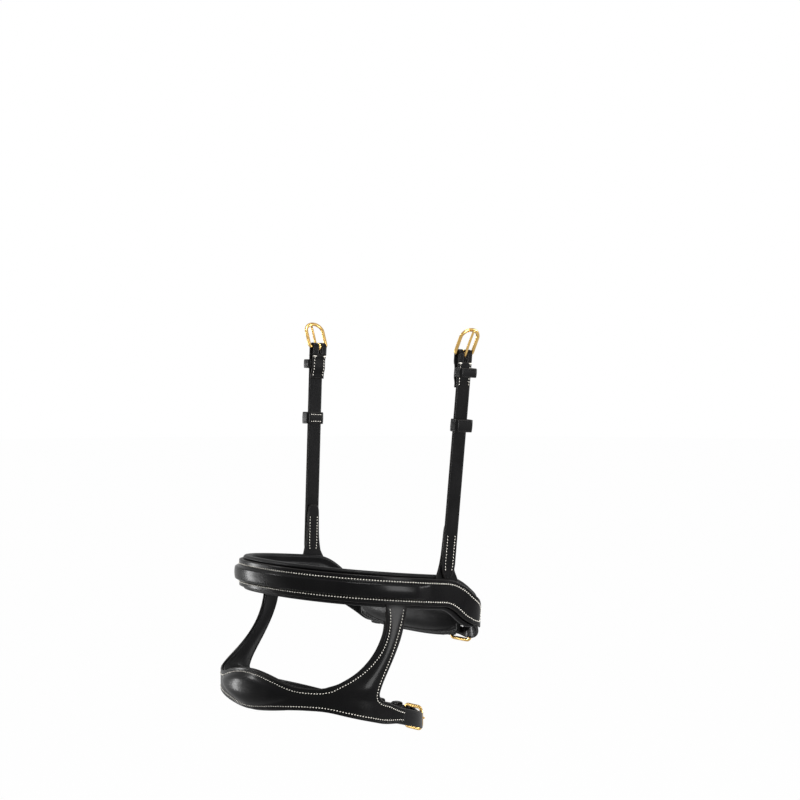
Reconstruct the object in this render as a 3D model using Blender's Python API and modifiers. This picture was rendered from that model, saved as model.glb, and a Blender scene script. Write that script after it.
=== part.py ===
"""Double noseband of a bridle, hanging as it does from the headpiece.

Two leather rings, one above the other, go round the horse's nose. The upper one is padded and hangs from two cheek
straps. The lower one hangs from it by side straps. Each ring closes behind the jaw with a buckle.

Axes: +Z up, +X to the horse's left, -Y towards the nose. The origin lies halfway between the bars of the two cheek
buckles, which the headpiece carries. All sizes are in metres.
"""

import math

import bmesh
import bpy
import numpy as np

# Clearance between pieces that touch
GAP = 0.0003

# Leather thicknesses
INNER_LEATHER = 0.0020
OUTER_LEATHER = 0.0022
BACKING_LEATHER = 0.0017
YOKE_LEATHER = 0.0019
YOKE_LINING = 0.0014
KEEPER_LEATHER = 0.0014

# Upper ring: plan of its seam, where the lining meets the leather
RING_HALF_WIDTH = 0.098
UPPER_HALF_WIDTH = RING_HALF_WIDTH
UPPER_NOSE_REACH = 0.127
UPPER_JAW_REACH = 0.052
UPPER_CORNER_RADIUS = 0.022
NOSE_FULLNESS_SHARE = 2.4
CHEEK_FORWARD = 0.016

# Upper ring: drop below the cheek buckles
UPPER_NOSE_DROP = 0.203
UPPER_SLOPE_SHARE = 0.118
UPPER_REAR_DROP = 0.0362
UPPER_REAR_SETBACK = 0.011
UPPER_REAR_EASE = 0.011

# Lower ring
LOWER_INSET = 0.003
LOWER_HALF_WIDTH = RING_HALF_WIDTH - LOWER_INSET
LOWER_NOSE_REACH = 0.0664
LOWER_JAW_REACH = 0.0816
LOWER_REAR_HALF = 0.055
LOWER_FORWARD = 0.095
RING_SPACING = 0.099
LOWER_NOSE_DROP = UPPER_NOSE_DROP + RING_SPACING
LOWER_NOSE_SAG = 0.0033
LOWER_SAG_START = 0.014
LOWER_SAG_END = 0.052
LOWER_SAG_EASE = 0.014
LOWER_REAR_DROP = 0.0350
LOWER_REAR_START = 0.084
LOWER_REAR_END = 0.211
LOWER_REAR_EASE = 0.012

# Spacing of the stations along a ring: one for so much length or so much turn
STATION_LENGTH = 0.022
STATION_TURN_DEGREES = 9.75

# Upper band
BAND_HEIGHT = 0.025
BAND_PAST_CORNER = 0.0215
BAND_END_HEIGHT = 0.018
BAND_END_TAPER = 0.014
BAND_CROWN = 0.0045
CROWN_HALF = 0.0085
CROWN_SHOULDER = 0.0040
CROWN_SETBACK = 0.016
CROWN_FADE = 0.022
LINING_HEIGHT = 0.032
LINING_THICKNESS = 0.0065
LINING_MARGIN = 0.003

# Cheek straps
CHEEK_WIDTH = 0.016
CHEEK_POINT_WIDTH = 0.007
CHEEK_POINT_LENGTH = 0.013
CHEEK_BUCKLE_HALF_SPAN = 0.107
CHEEK_TAB_WIDTH = 0.024
CHEEK_TAB_RISE = 0.052
CHEEK_TAB_TUCK = 0.007
CHEEK_KEEPER_DROP = 0.065
CHEEK_KEEPER_SLIP = 0.0046

# Side straps of the lower yoke
SIDE_WIDTH = 0.0215
SIDE_FORWARD = 0.0666
SIDE_TUCK = 0.008
SIDE_FRONT = 0.0751
SIDE_BACK = 0.1344
SIDE_FRONT_FILLET = 0.0279
SIDE_BACK_FILLET = 0.0248
SIDE_FRONT_SWEEP = 0.0325
SIDE_BACK_SWEEP = 0.0179
SIDE_FALL = 0.0504
SIDE_LIFT_SHARE = 0.08

# Lower band
NOSE_HEIGHT = 0.0365
NARROW_HEIGHT = 0.0200
ARM_HEIGHT = 0.0155
NOSE_TAPER = 0.066
YOKE_END = 0.163
NOSE_CROWN = 0.0065
NOSE_CROWN_LENGTH = 0.066
NOSE_CROWN_SHOULDER = 0.009
NOSE_PAD_THICKNESS = 0.005

# Buckles
BAR_RADIUS = 0.0016
TONGUE_RADIUS = 0.0011
SLOT_HALF = 0.0018
SLOT_REACH = 0.0075
CHEEK_FRAME_LENGTH = 0.024
CHEEK_FRAME_LEAN_DEGREES = 22
JAW_FRAME_LENGTH = 0.026
CHIN_FRAME_LENGTH = 0.022
FRAME_CORNER_RADIUS = 0.004

# Folded strap ends and keepers
CHAPE_LENGTH = 0.031
KEEPER_SEAT_START_SHARE = 0.38
KEEPER_SEAT_END_SHARE = 0.70
KEEPER_WIDTH = 0.0115
FIXED_KEEPER_WIDTH = 0.0085
KEEPER_SLACK = 0.0005
BILLET_ROOM = 0.0050

# Jaw closure, placed by the distance from the middle of the jaw
JAW_STRAP_WIDTH = 0.022
JAW_HEEL = 0.0465
JAW_RUNNER = -0.062
JAW_TIP = -0.078
PAD_LENGTH = 0.146
PAD_HEIGHT = 0.038
PAD_THICKNESS = 0.013
PAD_RISE = 0.0065
PAD_MIDDLE = -0.006
SLEEVE_START = -0.008
SLEEVE_END = -0.044

# Chin closure
CHIN_STRAP_WIDTH = 0.016
CHIN_HEEL = 0.038
CHIN_RUNNER = -0.004
CHIN_TIP = -0.026
BILLET_LAP = 0.014

# Which side of the horse a piece is on, and the points along and across the curved sheets
SIDE_NAMES = {1: "left", -1: "right"}
PLAN_STEPS = 240
SIDE_STEPS = 12
NOSE_SHARES = np.array([-1, -0.84, -0.6, -0.3, 0.3, 0.6, 0.84, 1])
CORNER_SHARES = np.array([0, 0.35, 0.65, 1])

# Levels outwards from the seam
INNER_LEVEL = INNER_LEATHER / 2
OUTER_LEVEL = INNER_LEATHER + GAP + OUTER_LEATHER / 2


def smooth(value):
    """Rise from 0 to 1 with level ends."""
    t = np.clip(value, 0.0, 1.0)
    return t * t * (3 - 2 * t)


def ramp(value, start, end, ease):
    """Distance run down an even slope from start to end, whose two corners are rounded over ease."""

    def corner(at):
        d = np.clip(value - at, -ease, ease)
        return np.where(value > at + ease, value - at, (d + ease) ** 2 / (4 * ease))

    return corner(start) - corner(end)


def unit(vectors):
    return vectors / np.linalg.norm(vectors, axis=-1, keepdims=True)


class Ring:
    """A closed path round the nose, symmetric in X, measured by its arc length from the nose.

    plan is half of it seen from above, from the nose to the middle of the jaw, and fall(arc, y) its drop below the
    cheek buckles. Every piece on the ring follows the same flat facets between its stations, which include the
    points of the plan numbered in corners.
    """

    def __init__(self, plan, fall, corners):
        steps = np.linalg.norm(np.diff(plan, axis=0), axis=1)
        self.half_arc = np.concatenate([[0.0], np.cumsum(steps)])
        self.half_plan = plan
        self.length = self.half_arc[-1]
        self.fall = fall
        heading = unit(np.diff(plan, axis=0))
        turns = np.arccos(np.clip((heading[:-1] * heading[1:]).sum(axis=1), -1, 1))
        turned = np.concatenate([[0.0, 0.0], np.cumsum(turns)])
        pace = self.half_arc / STATION_LENGTH + turned / math.radians(STATION_TURN_DEGREES)
        count = math.ceil(pace[-1])
        marks = np.interp(np.linspace(0, pace[-1], count + 1), pace, self.half_arc)
        kept = self.half_arc[[0, *corners, -1]]
        far = np.abs(marks[:, None] - kept).min(axis=1) > STATION_LENGTH / 6
        marks = np.sort(np.concatenate([kept, marks[far]]))
        self.marks = np.concatenate([-marks[:0:-1], marks])
        self.mark_frames = None

    def stations(self, start, end, extra=()):
        """The ring's own stations between start and end, with the two ends and any extra ones."""
        kept = np.array(sorted([start, end, *extra]))
        marks = self.marks[(self.marks > start) & (self.marks < end)]
        return np.unique(np.concatenate([kept, marks]))

    def seam(self, arc):
        away = np.abs(arc)
        x = np.interp(away, self.half_arc, self.half_plan[:, 0]) * np.sign(arc)
        y = np.interp(away, self.half_arc, self.half_plan[:, 1])
        return np.stack([x, y, -self.fall(away, y)], axis=-1)

    def find_mark_frames(self):
        """Seam points, outward normals and upward width directions at the stations."""
        step = self.length / 300
        seam = self.seam(self.marks)
        ahead = self.seam(np.minimum(self.marks + step, self.length))
        behind = self.seam(np.maximum(self.marks - step, -self.length))
        along = unit(ahead - behind)
        outward = unit(np.stack([along[:, 1], -along[:, 0], along[:, 0] * 0], axis=1))
        return np.concatenate([seam, outward, np.cross(outward, along)], axis=1)

    def frame(self, arc):
        """Seam point, direction, outward normal and upward width direction at an arc."""
        if self.mark_frames is None:
            self.mark_frames = self.find_mark_frames()
        turn = 2 * self.length
        arc = (np.asarray(arc, float) + self.length) % turn - self.length
        values = [np.interp(arc, self.marks, column) for column in self.mark_frames.T]
        values = np.stack(values, axis=-1)
        seam, outward, upward = values[..., 0:3], values[..., 3:6], values[..., 6:9]
        return seam, np.cross(unit(upward), unit(outward)), outward, upward

    def point(self, arc, height, level):
        seam, _, outward, upward = self.frame(arc)
        height = np.asarray(height, float)[..., None]
        level = np.asarray(level, float)[..., None]
        return seam + upward * height + outward * level


def upper_plan():
    """A full half ellipse over the nose, straight sides, round corners and a straight back."""
    turn = np.linspace(0, math.pi / 2, PLAN_STEPS)
    power = 2 / NOSE_FULLNESS_SHARE
    nose = np.stack([UPPER_HALF_WIDTH * np.sin(turn) ** power, -UPPER_NOSE_REACH * np.cos(turn) ** power], axis=1)
    inner_x = UPPER_HALF_WIDTH - UPPER_CORNER_RADIUS
    inner_y = UPPER_JAW_REACH - UPPER_CORNER_RADIUS
    corner = np.stack([inner_x + UPPER_CORNER_RADIUS * np.cos(turn), inner_y + UPPER_CORNER_RADIUS * np.sin(turn)], 1)
    middle = np.array([[0.0, UPPER_JAW_REACH]])
    return np.concatenate([nose, corner, middle]) - [0, CHEEK_FORWARD]


def upper_fall(arc, y):
    side = UPPER_JAW_REACH - UPPER_CORNER_RADIUS - CHEEK_FORWARD
    behind_nose = np.minimum(y, side) + CHEEK_FORWARD + UPPER_NOSE_REACH
    start = CHEEK_ARC + UPPER_REAR_SETBACK
    end = CORNER_ARC + UPPER_CORNER_RADIUS * math.pi / 2 - UPPER_REAR_EASE
    share = UPPER_REAR_DROP / (end - start)
    return UPPER_NOSE_DROP + UPPER_SLOPE_SHARE * behind_nose + share * ramp(arc, start, end, UPPER_REAR_EASE)


def lower_plan():
    """Half an ellipse over the nose, a longer quarter ellipse to each rear corner and a straight back."""
    turn = np.linspace(0, math.pi / 2, PLAN_STEPS)
    nose = np.stack([LOWER_HALF_WIDTH * np.sin(turn), -LOWER_NOSE_REACH * np.cos(turn)], axis=1)
    rear_x = LOWER_REAR_HALF + (LOWER_HALF_WIDTH - LOWER_REAR_HALF) * np.cos(turn)
    rear = np.stack([rear_x, LOWER_JAW_REACH * np.sin(turn)], axis=1)[1:]
    middle = np.array([[0.0, LOWER_JAW_REACH]])
    return np.concatenate([nose, rear, middle]) - [0, LOWER_FORWARD]


def lower_fall(arc, y):
    sag = LOWER_NOSE_SAG / (LOWER_SAG_END - LOWER_SAG_START)
    rear = LOWER_REAR_DROP / (LOWER_REAR_END - LOWER_REAR_START)
    front_part = sag * ramp(arc, LOWER_SAG_START, LOWER_SAG_END, LOWER_SAG_EASE)
    rear_part = rear * ramp(arc, LOWER_REAR_START, LOWER_REAR_END, LOWER_REAR_EASE)
    return LOWER_NOSE_DROP + front_part + rear_part


UPPER = Ring(upper_plan(), upper_fall, [PLAN_STEPS - 1, PLAN_STEPS, 2 * PLAN_STEPS - 1])
LOWER = Ring(lower_plan(), lower_fall, [PLAN_STEPS - 1, 2 * PLAN_STEPS - 2])
CHEEK_ARC = float(UPPER.half_arc[PLAN_STEPS - 1])
CORNER_ARC = float(UPPER.half_arc[PLAN_STEPS])
SIDE_TOP = float(np.interp(-SIDE_FORWARD, UPPER.half_plan[:PLAN_STEPS, 1], UPPER.half_arc[:PLAN_STEPS]))
BAND_END = CORNER_ARC + BAND_PAST_CORNER
CROWN_END = CHEEK_ARC - CROWN_SETBACK


def clear_scene():
    for item in list(bpy.data.objects):
        bpy.data.objects.remove(item, do_unlink=True)


def make_material(name, color, roughness, metallic):
    material = bpy.data.materials.new(name)
    material.use_nodes = True
    shader = material.node_tree.nodes["Principled BSDF"]
    shader.inputs["Base Color"].default_value = (*color, 1)
    shader.inputs["Roughness"].default_value = roughness
    shader.inputs["Metallic"].default_value = metallic
    return material


def black_leather(name):
    return make_material(name, (0.012, 0.012, 0.013), 0.42, 0)


def soft_leather(name):
    return make_material(name, (0.016, 0.016, 0.017), 0.5, 0)


def filler_felt(name):
    return make_material(name, (0.35, 0.33, 0.30), 0.9, 0)


def brass(name):
    return make_material(name, (0.72, 0.48, 0.16), 0.25, 1)


def add_object(name, mesh, material):
    piece = bpy.data.objects.new(name, mesh)
    PARTS.objects.link(piece)
    mesh.materials.append(material)
    mesh.shade_smooth()
    mesh.set_sharp_from_angle(angle=math.radians(40))
    return piece


def grid_mesh(name, points, closed=False, holes=()):
    """A sheet of quads through points[row, column]; closed joins the last row to the first.

    Each hole is (first row, last row, first column, last column) of the quads left out.
    """
    rows, columns = points.shape[:2]
    sheet = bmesh.new()
    bmesh.ops.create_grid(sheet, x_segments=columns - 1, y_segments=rows - 1, size=1)
    spots = {}
    for vert in sheet.verts:
        row = round((vert.co.y + 1) / 2 * (rows - 1))
        column = round((vert.co.x + 1) / 2 * (columns - 1))
        spots[vert] = (row, column)
    missing = []
    for face in sheet.faces:
        row = min(spots[vert][0] for vert in face.verts)
        column = min(spots[vert][1] for vert in face.verts)
        if any(a <= row <= b and c <= column <= d for a, b, c, d in holes):
            missing.append(face)
    for vert, (row, column) in spots.items():
        vert.co = points[row, column]
    bmesh.ops.delete(sheet, geom=missing, context="FACES")
    if closed:
        bmesh.ops.remove_doubles(sheet, verts=sheet.verts, dist=GAP / 30)
    mesh = bpy.data.meshes.new(name)
    sheet.to_mesh(mesh)
    sheet.free()
    return mesh


def add_leather(name, points, thickness, material, closed=False, holes=()):
    """A sheet of leather, thickened evenly to both sides of its points."""
    piece = add_object(name, grid_mesh(name, points, closed, holes), material)
    add_thickness(piece, thickness)
    return piece


def add_mirror(piece):
    mirror = piece.modifiers.new("Mirror", "MIRROR")
    mirror.merge_threshold = GAP / 30


def add_thickness(piece, thickness):
    solid = piece.modifiers.new("Thickness", "SOLIDIFY")
    solid.thickness = thickness
    solid.offset = 0
    solid.use_even_offset = True


def add_loft(name, sections, material):
    """A closed skin over sections[station, corner], with a flat face on each end."""
    stations, corners = sections.shape[:2]
    verts = sections.reshape(-1, 3)
    faces = []
    for i in range(stations - 1):
        for j in range(corners):
            k = (j + 1) % corners
            faces.append((i * corners + j, i * corners + k, (i + 1) * corners + k, (i + 1) * corners + j))
    faces.append(tuple(reversed(range(corners))))
    faces.append(tuple((stations - 1) * corners + j for j in range(corners)))
    mesh = bpy.data.meshes.new(name)
    mesh.from_pydata(verts.tolist(), [], faces)
    shape = bmesh.new()
    shape.from_mesh(mesh)
    bmesh.ops.recalc_face_normals(shape, faces=shape.faces)
    shape.to_mesh(mesh)
    shape.free()
    return add_object(name, mesh, material)


def add_wire(name, points, radius, material, cyclic=False, radii=None):
    """A round wire through points, with filled ends."""
    curve = bpy.data.curves.new(name, "CURVE")
    curve.dimensions = "3D"
    curve.bevel_depth = radius
    curve.bevel_resolution = 2
    curve.use_fill_caps = not cyclic
    spline = curve.splines.new("POLY")
    spline.points.add(len(points) - 1)
    for i, point in enumerate(points):
        spline.points[i].co = (*point, 1)
        spline.points[i].radius = 1 if radii is None else radii[i]
    spline.use_cyclic_u = cyclic
    curve.materials.append(material)
    piece = bpy.data.objects.new(name, curve)
    PARTS.objects.link(piece)
    return piece


def round_bends(corners, radius, steps=5):
    """A path of straight runs through corners, each bend rounded by an arc-like curve of about that radius."""
    corners = np.asarray(corners, float)
    path = [corners[0]]
    for before, at, after in zip(corners[:-2], corners[1:-1], corners[2:]):
        back, ahead = before - at, after - at
        reach = min(radius, np.linalg.norm(back) * 0.45, np.linalg.norm(ahead) * 0.45)
        start = at + unit(back) * reach
        end = at + unit(ahead) * reach
        for t in np.linspace(0, 1, steps):
            path.append((1 - t) ** 2 * start + 2 * t * (1 - t) * at + t * t * end)
    path.append(corners[-1])
    return np.array(path)


def crown_rise(arc, height):
    """Rise of the padded front between its two seams, fading out before the cheek straps."""
    across = smooth((CROWN_HALF - np.abs(height)) / CROWN_SHOULDER)
    along = smooth((CROWN_END - np.abs(arc)) / CROWN_FADE)
    return BAND_CROWN * across * along


def crown_columns():
    """Heights across the band where its surface turns: both edges, and the two shoulders of the padded front."""
    foot = CROWN_HALF
    top = CROWN_HALF - CROWN_SHOULDER
    bend = (foot + top) / 2
    return np.array([-BAND_HEIGHT / 2, -foot, -bend, -top, top, bend, foot, BAND_HEIGHT / 2])


def end_narrowing(arcs, end):
    """Share of the band's full height at each arc: it narrows over its last part up to the end."""
    loss = 1 - BAND_END_HEIGHT / BAND_HEIGHT
    return 1 - loss * smooth(1 - (end - np.abs(arcs)) / BAND_END_TAPER)


def add_nose_band():
    """Outer leather with its padded front, and the filler under it."""
    start_of_taper = BAND_END - BAND_END_TAPER
    arcs = UPPER.stations(-BAND_END, BAND_END, (-start_of_taper, -CROWN_END, CROWN_END, start_of_taper))
    arc, height = np.meshgrid(arcs, crown_columns(), indexing="ij")
    height = height * end_narrowing(arc, BAND_END)
    level = OUTER_LEVEL + crown_rise(arc, height)
    add_leather("nose_band_outer", UPPER.point(arc, height, level), OUTER_LEATHER, black_leather("outer_leather"))

    end = CROWN_END - CROWN_FADE / 2
    arcs = UPPER.stations(-end, end)
    arc, height = np.meshgrid(arcs, crown_columns()[2:-2], indexing="ij")
    top = UPPER.point(arc, height, INNER_LEATHER - GAP + crown_rise(arc, height))
    floor = UPPER.point(arc, height, np.full_like(arc, INNER_LEATHER + GAP))[:, ::-1]
    add_loft("nose_band_filler", np.concatenate([top, floor], axis=1), filler_felt("filler"))


def notch(arc, middle, half, depth):
    """Depth cut into an edge over half to each side of middle, with steep sides a gap wide."""
    inside = (half + GAP - np.abs(np.abs(arc) - middle)) / GAP
    return depth * np.clip(inside, 0, 1)


def notch_edges(middle, half):
    """Stations where a notch's sides begin and end, on both sides of the ring."""
    offsets = [side * (half + extra) for side in (-1, 1) for extra in (0, GAP)]
    return [sign * (middle + offset) for sign in (-1, 1) for offset in offsets]


def add_band_backing():
    """Inner leather layer, cut out where the cheek tabs and the side straps are sewn in beside it."""
    end = BAND_END - BILLET_LAP
    tab_half = CHEEK_TAB_WIDTH / 2 + GAP
    side_half = SIDE_WIDTH / 2 + GAP
    extra = notch_edges(CHEEK_ARC, tab_half) + notch_edges(SIDE_TOP, side_half)
    arcs = UPPER.stations(-end, end, extra)
    edge = BAND_HEIGHT / 2 - GAP
    edge = edge * end_narrowing(arcs, BAND_END)
    top = edge - notch(arcs, CHEEK_ARC, tab_half, CHEEK_TAB_TUCK + GAP)
    bottom = -edge + notch(arcs, SIDE_TOP, side_half, SIDE_TUCK + GAP)
    shares = np.linspace(0, 1, 4)
    heights = bottom[:, None] + (top - bottom)[:, None] * shares
    arc = np.repeat(arcs[:, None], len(shares), axis=1)
    points = UPPER.point(arc, heights, np.full_like(arc, INNER_LEVEL))
    add_leather("nose_band_backing", points, BACKING_LEATHER, black_leather("backing_leather"))


def cushion_section(half_height, thickness, count=16):
    """Corner points of a soft section: flat where it is sewn, crowned on the horse's side, with rolled edges."""
    turn = np.linspace(0, 2 * math.pi, count, endpoint=False) + math.pi / count
    height = half_height * np.sign(np.sin(turn)) * np.abs(np.sin(turn)) ** 0.75
    depth = thickness * (0.5 - 0.5 * np.sign(np.cos(turn)) * np.abs(np.cos(turn)) ** 0.6)
    return height, -depth


def add_band_lining():
    """Soft rolled lining on the horse's side, a little taller than the leather."""
    end = BAND_END - LINING_MARGIN
    arcs = UPPER.stations(-end, end, (LINING_MARGIN - end, end - LINING_MARGIN))
    closing = np.sqrt(np.clip((end + LINING_MARGIN - np.abs(arcs)) / (3 * LINING_MARGIN), 0, 1))
    height, depth = cushion_section(LINING_HEIGHT / 2, LINING_THICKNESS, 12)
    arc = np.repeat(arcs[:, None], len(height), axis=1)
    heights = (closing * end_narrowing(arcs, BAND_END))[:, None] * height
    levels = -GAP + (0.4 + 0.6 * closing[:, None]) * depth
    add_loft("nose_band_lining", UPPER.point(arc, heights, levels), soft_leather("lining_leather"))


class StrapFrame:
    """Straight frame of a cheek strap: across to the rear, up the strap and outwards, from a foot on the band."""

    def __init__(self, side):
        seam, along, outward, upward = UPPER.frame(side * CHEEK_ARC)
        self.side = side
        self.seam = seam
        self.rear = along * side
        self.outward = outward
        self.upward = upward
        foot = seam + upward * (BAND_HEIGHT / 2) + outward * OUTER_LEVEL
        bar = np.array([side * CHEEK_BUCKLE_HALF_SPAN, 0, 0])
        self.foot = foot
        lean = unit(bar - foot)
        normal = unit(outward - lean * float(outward @ lean))
        drop = BAR_RADIUS + GAP + OUTER_LEATHER / 2
        self.bar = bar
        self.top = bar + normal * drop
        self.lean = unit(self.top - foot)
        self.normal = unit(outward - self.lean * float(outward @ self.lean))
        self.across = np.cross(self.lean, self.normal) * side
        self.length = float(np.linalg.norm(self.top - foot))

    def point(self, across, up, out):
        """Point on the strap: up is measured down from the buckle's bar as a negative height."""
        across = np.asarray(across, float)[..., None]
        up = np.asarray(up, float)[..., None]
        out = np.asarray(out, float)[..., None]
        return self.top + self.across * across + self.lean * up + self.normal * out


def fold_path(leather):
    """Path of a strap that runs up to a bar at 0, folds round it and returns down its own back.

    It gives (up, out) of the leather's middle, from the slot's foot to the end of the fold, and the quad rows
    that the tongue's slot takes. The return leaves room for the fixed keeper's inner leg.
    """
    turn_radius = BAR_RADIUS + GAP + leather / 2
    turn = np.linspace(math.pi / 2, -math.pi / 2, 8)
    bend = np.stack([turn_radius * np.cos(turn), turn_radius * (np.sin(turn) - 1)], axis=1)
    seat = -(leather + KEEPER_LEATHER + 2 * GAP)
    close = -(leather + GAP)
    slot_foot = -2 * turn_radius * 0.97
    back = [
        (-SLOT_REACH, slot_foot),
        (-CHAPE_LENGTH * KEEPER_SEAT_START_SHARE, seat),
        (-CHAPE_LENGTH * KEEPER_SEAT_END_SHARE, seat),
        (-CHAPE_LENGTH * (1 + KEEPER_SEAT_END_SHARE) / 2, close),
        (-CHAPE_LENGTH, close),
    ]
    back = round_bends(back, CHAPE_LENGTH * 0.06, 3)
    path = np.concatenate([[[-SLOT_REACH, 0.0]], bend, back])
    return path, len(bend) + 1


def slotted_columns(half):
    return np.array([-half, -SLOT_HALF, SLOT_HALF, half])


def runner_drop(side):
    """Distance of the runner keeper below the buckle's bar. The right one has slipped a little further down."""
    return CHEEK_KEEPER_DROP + CHEEK_KEEPER_SLIP * (side < 0)


def add_cheek_strap(side):
    """Cheek strap: sewn on its tab at the foot, folded round the buckle's bar at the top."""
    frame = StrapFrame(side)
    fold, slot_rows = fold_path(OUTER_LEATHER)
    foot = GAP * 3 - frame.length
    tab_top = CHEEK_TAB_RISE - frame.length
    seat = KEEPER_WIDTH - runner_drop(side)
    downs = [foot, foot + CHEEK_POINT_LENGTH / 2, foot + CHEEK_POINT_LENGTH, tab_top, seat, -CHAPE_LENGTH]
    path = np.concatenate([[(down, 0.0) for down in downs], fold])
    point_shares = np.array([0, 0.75, 1])
    widths = np.full(len(path), CHEEK_WIDTH)
    widths[: len(point_shares)] = CHEEK_POINT_WIDTH + (CHEEK_WIDTH - CHEEK_POINT_WIDTH) * point_shares
    columns = slotted_columns(CHEEK_WIDTH / 2)
    across = widths[:, None] * (columns / CHEEK_WIDTH)
    across[:, 1:3] = columns[1:3]
    up = np.repeat(path[:, :1], len(columns), axis=1)
    out = np.repeat(path[:, 1:], len(columns), axis=1)
    add_leather(
        "cheek_strap_" + SIDE_NAMES[side],
        frame.point(across, up, out),
        OUTER_LEATHER,
        black_leather("cheek_leather"),
        holes=[(len(downs), len(downs) + slot_rows - 1, 1, 1)],
    )


def add_cheek_tab(side):
    """Flared tab that joins the cheek strap to the band: its foot is sewn in between the band's two leathers."""
    frame = StrapFrame(side)
    edge = BAND_HEIGHT / 2
    tuck = [edge - CHEEK_TAB_TUCK, edge - CHEEK_TAB_TUCK / 2, edge, edge + LINING_MARGIN]
    rise_shares = [0.22, 0.35, 0.5, 0.75, 0.92, 1.0]
    half_shares = [1.0, 1.0, 1.0, 0.93, 0.76, 0.68, 0.63, 0.6, 0.55, 0.3]
    level = INNER_LEVEL - OUTER_LEVEL
    rows = []
    columns = np.linspace(-1, 1, 5)
    for k, height in enumerate(tuck):
        half = CHEEK_TAB_WIDTH / 2 * half_shares[k]
        rows.append(UPPER.point(side * CHEEK_ARC + columns * half * side, height, INNER_LEVEL))
    for k, rise_share in enumerate(rise_shares):
        half = CHEEK_TAB_WIDTH / 2 * half_shares[len(tuck) + k]
        rows.append(frame.point(columns * half, rise_share * CHEEK_TAB_RISE - frame.length, level))
    name = "cheek_tab_" + SIDE_NAMES[side]
    add_leather(name, np.array(rows), INNER_LEATHER, black_leather("tab_leather"))


def keeper_loop(half_width, inner, outer):
    """Closed loop (across, out) of a keeper's leather, with round corners."""
    radius = KEEPER_LEATHER
    corners = [(-half_width, inner), (half_width, inner), (half_width, outer), (-half_width, outer)]
    corners = np.array(corners)
    loop = []
    for k in range(4):
        at, before, after = corners[k], corners[k - 1], corners[(k + 1) % 4]
        start = at + unit(before - at) * radius
        end = at + unit(after - at) * radius
        for t in CORNER_SHARES:
            loop.append((1 - t) ** 2 * start + 2 * t * (1 - t) * at + t * t * end)
    loop.append(loop[0])
    return np.array(loop)


def add_keeper(name, place, middle, half_width, inner, outer, width=KEEPER_WIDTH):
    """A leather loop round a strap, centred on its middle, placed by place(across, up, out)."""
    loop = keeper_loop(half_width, inner, outer)
    ups = np.array([middle - width / 2, middle + width / 2])
    across, up = np.meshgrid(loop[:, 0], ups, indexing="ij")
    out, _ = np.meshgrid(loop[:, 1], ups, indexing="ij")
    return add_leather(name, place(across, up, out), KEEPER_LEATHER, black_leather("keeper_leather"), closed=True)


def frame_outline(half_width, length, round_end):
    """Closed outline (across, up) of a buckle's frame, its heel bar on 0 and its far end round or square."""
    radius = FRAME_CORNER_RADIUS / 2
    heel = [(-half_width, radius), (-half_width + radius * 0.3, radius * 0.3), (-half_width + radius, 0.0)]
    heel += [(-across, up) for across, up in reversed(heel)]
    if round_end:
        turn = np.linspace(0, math.pi, 13)
        rise = half_width * 0.8
        end = [(half_width * math.cos(a), length - rise + rise * math.sin(a)) for a in turn]
        return np.array(heel + end)
    turn = np.linspace(0, math.pi / 2, 4)
    corner = FRAME_CORNER_RADIUS
    x, y = half_width - corner, length - corner
    end = [(x + corner * math.cos(a), y + corner * math.sin(a)) for a in turn]
    end += [(-across, up) for across, up in reversed(end)]
    return np.array(heel + end)


def add_buckle_frame(name, place, half_width, length, round_end):
    """Brass frame round a heel bar at the origin of place."""
    loop = frame_outline(half_width, length, round_end)
    add_wire(name, place(loop[:, 0], loop[:, 1], loop[:, 0] * 0), BAR_RADIUS, brass("brass"), cyclic=True)


def add_tongue(name, place, length):
    """Brass tongue: an open loop round the heel bar and a prong that rests on the frame's free end."""
    loop_radius = BAR_RADIUS + GAP + TONGUE_RADIUS
    turn = np.radians(np.linspace(350, 90, 12))
    hook = np.stack([loop_radius * np.cos(turn), loop_radius * np.sin(turn)], axis=1)
    tip = length + BAR_RADIUS + TONGUE_RADIUS
    shares = np.linspace(0.25, 1, 4)
    prong = [(tip * share, loop_radius) for share in shares]
    path = np.concatenate([hook, prong])
    radii = np.concatenate([np.ones(len(hook) + 2), [0.95, 0.75]])
    points = place(np.zeros(len(path)), path[:, 0], path[:, 1])
    add_wire(name, points, TONGUE_RADIUS, brass("tongue_brass"), radii=radii)


def add_cheek_buckle(side):
    """Round-ended buckle at the head of a cheek strap, with its tongue, its fixed keeper and its runner keeper."""
    frame = StrapFrame(side)
    bar_out = -(BAR_RADIUS + GAP + OUTER_LEATHER / 2)
    lean = math.radians(CHEEK_FRAME_LEAN_DEGREES)

    def place(across, up, out):
        turned_up = up * math.cos(lean) - out * math.sin(lean)
        turned_out = up * math.sin(lean) + out * math.cos(lean)
        return frame.point(across, turned_up, turned_out + bar_out)

    half_width = CHEEK_WIDTH / 2 + GAP * 2 + BAR_RADIUS
    label = SIDE_NAMES[side]
    add_buckle_frame("cheek_buckle_frame_" + label, place, half_width, CHEEK_FRAME_LENGTH, True)
    add_tongue("cheek_buckle_tongue_" + label, place, CHEEK_FRAME_LENGTH)
    inner = -(OUTER_LEATHER + KEEPER_LEATHER) / 2 - GAP
    outer = OUTER_LEATHER / 2 + BILLET_ROOM + KEEPER_LEATHER / 2
    half_loop = CHEEK_WIDTH / 2 + KEEPER_SLACK + KEEPER_LEATHER / 2
    middle = -CHAPE_LENGTH * (KEEPER_SEAT_START_SHARE + KEEPER_SEAT_END_SHARE) / 2
    add_keeper("cheek_fixed_keeper_" + label, frame.point, middle, half_loop, inner, outer, FIXED_KEEPER_WIDTH)
    add_keeper("cheek_runner_keeper_" + label, frame.point, -runner_drop(side), half_loop, inner, outer)


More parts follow.
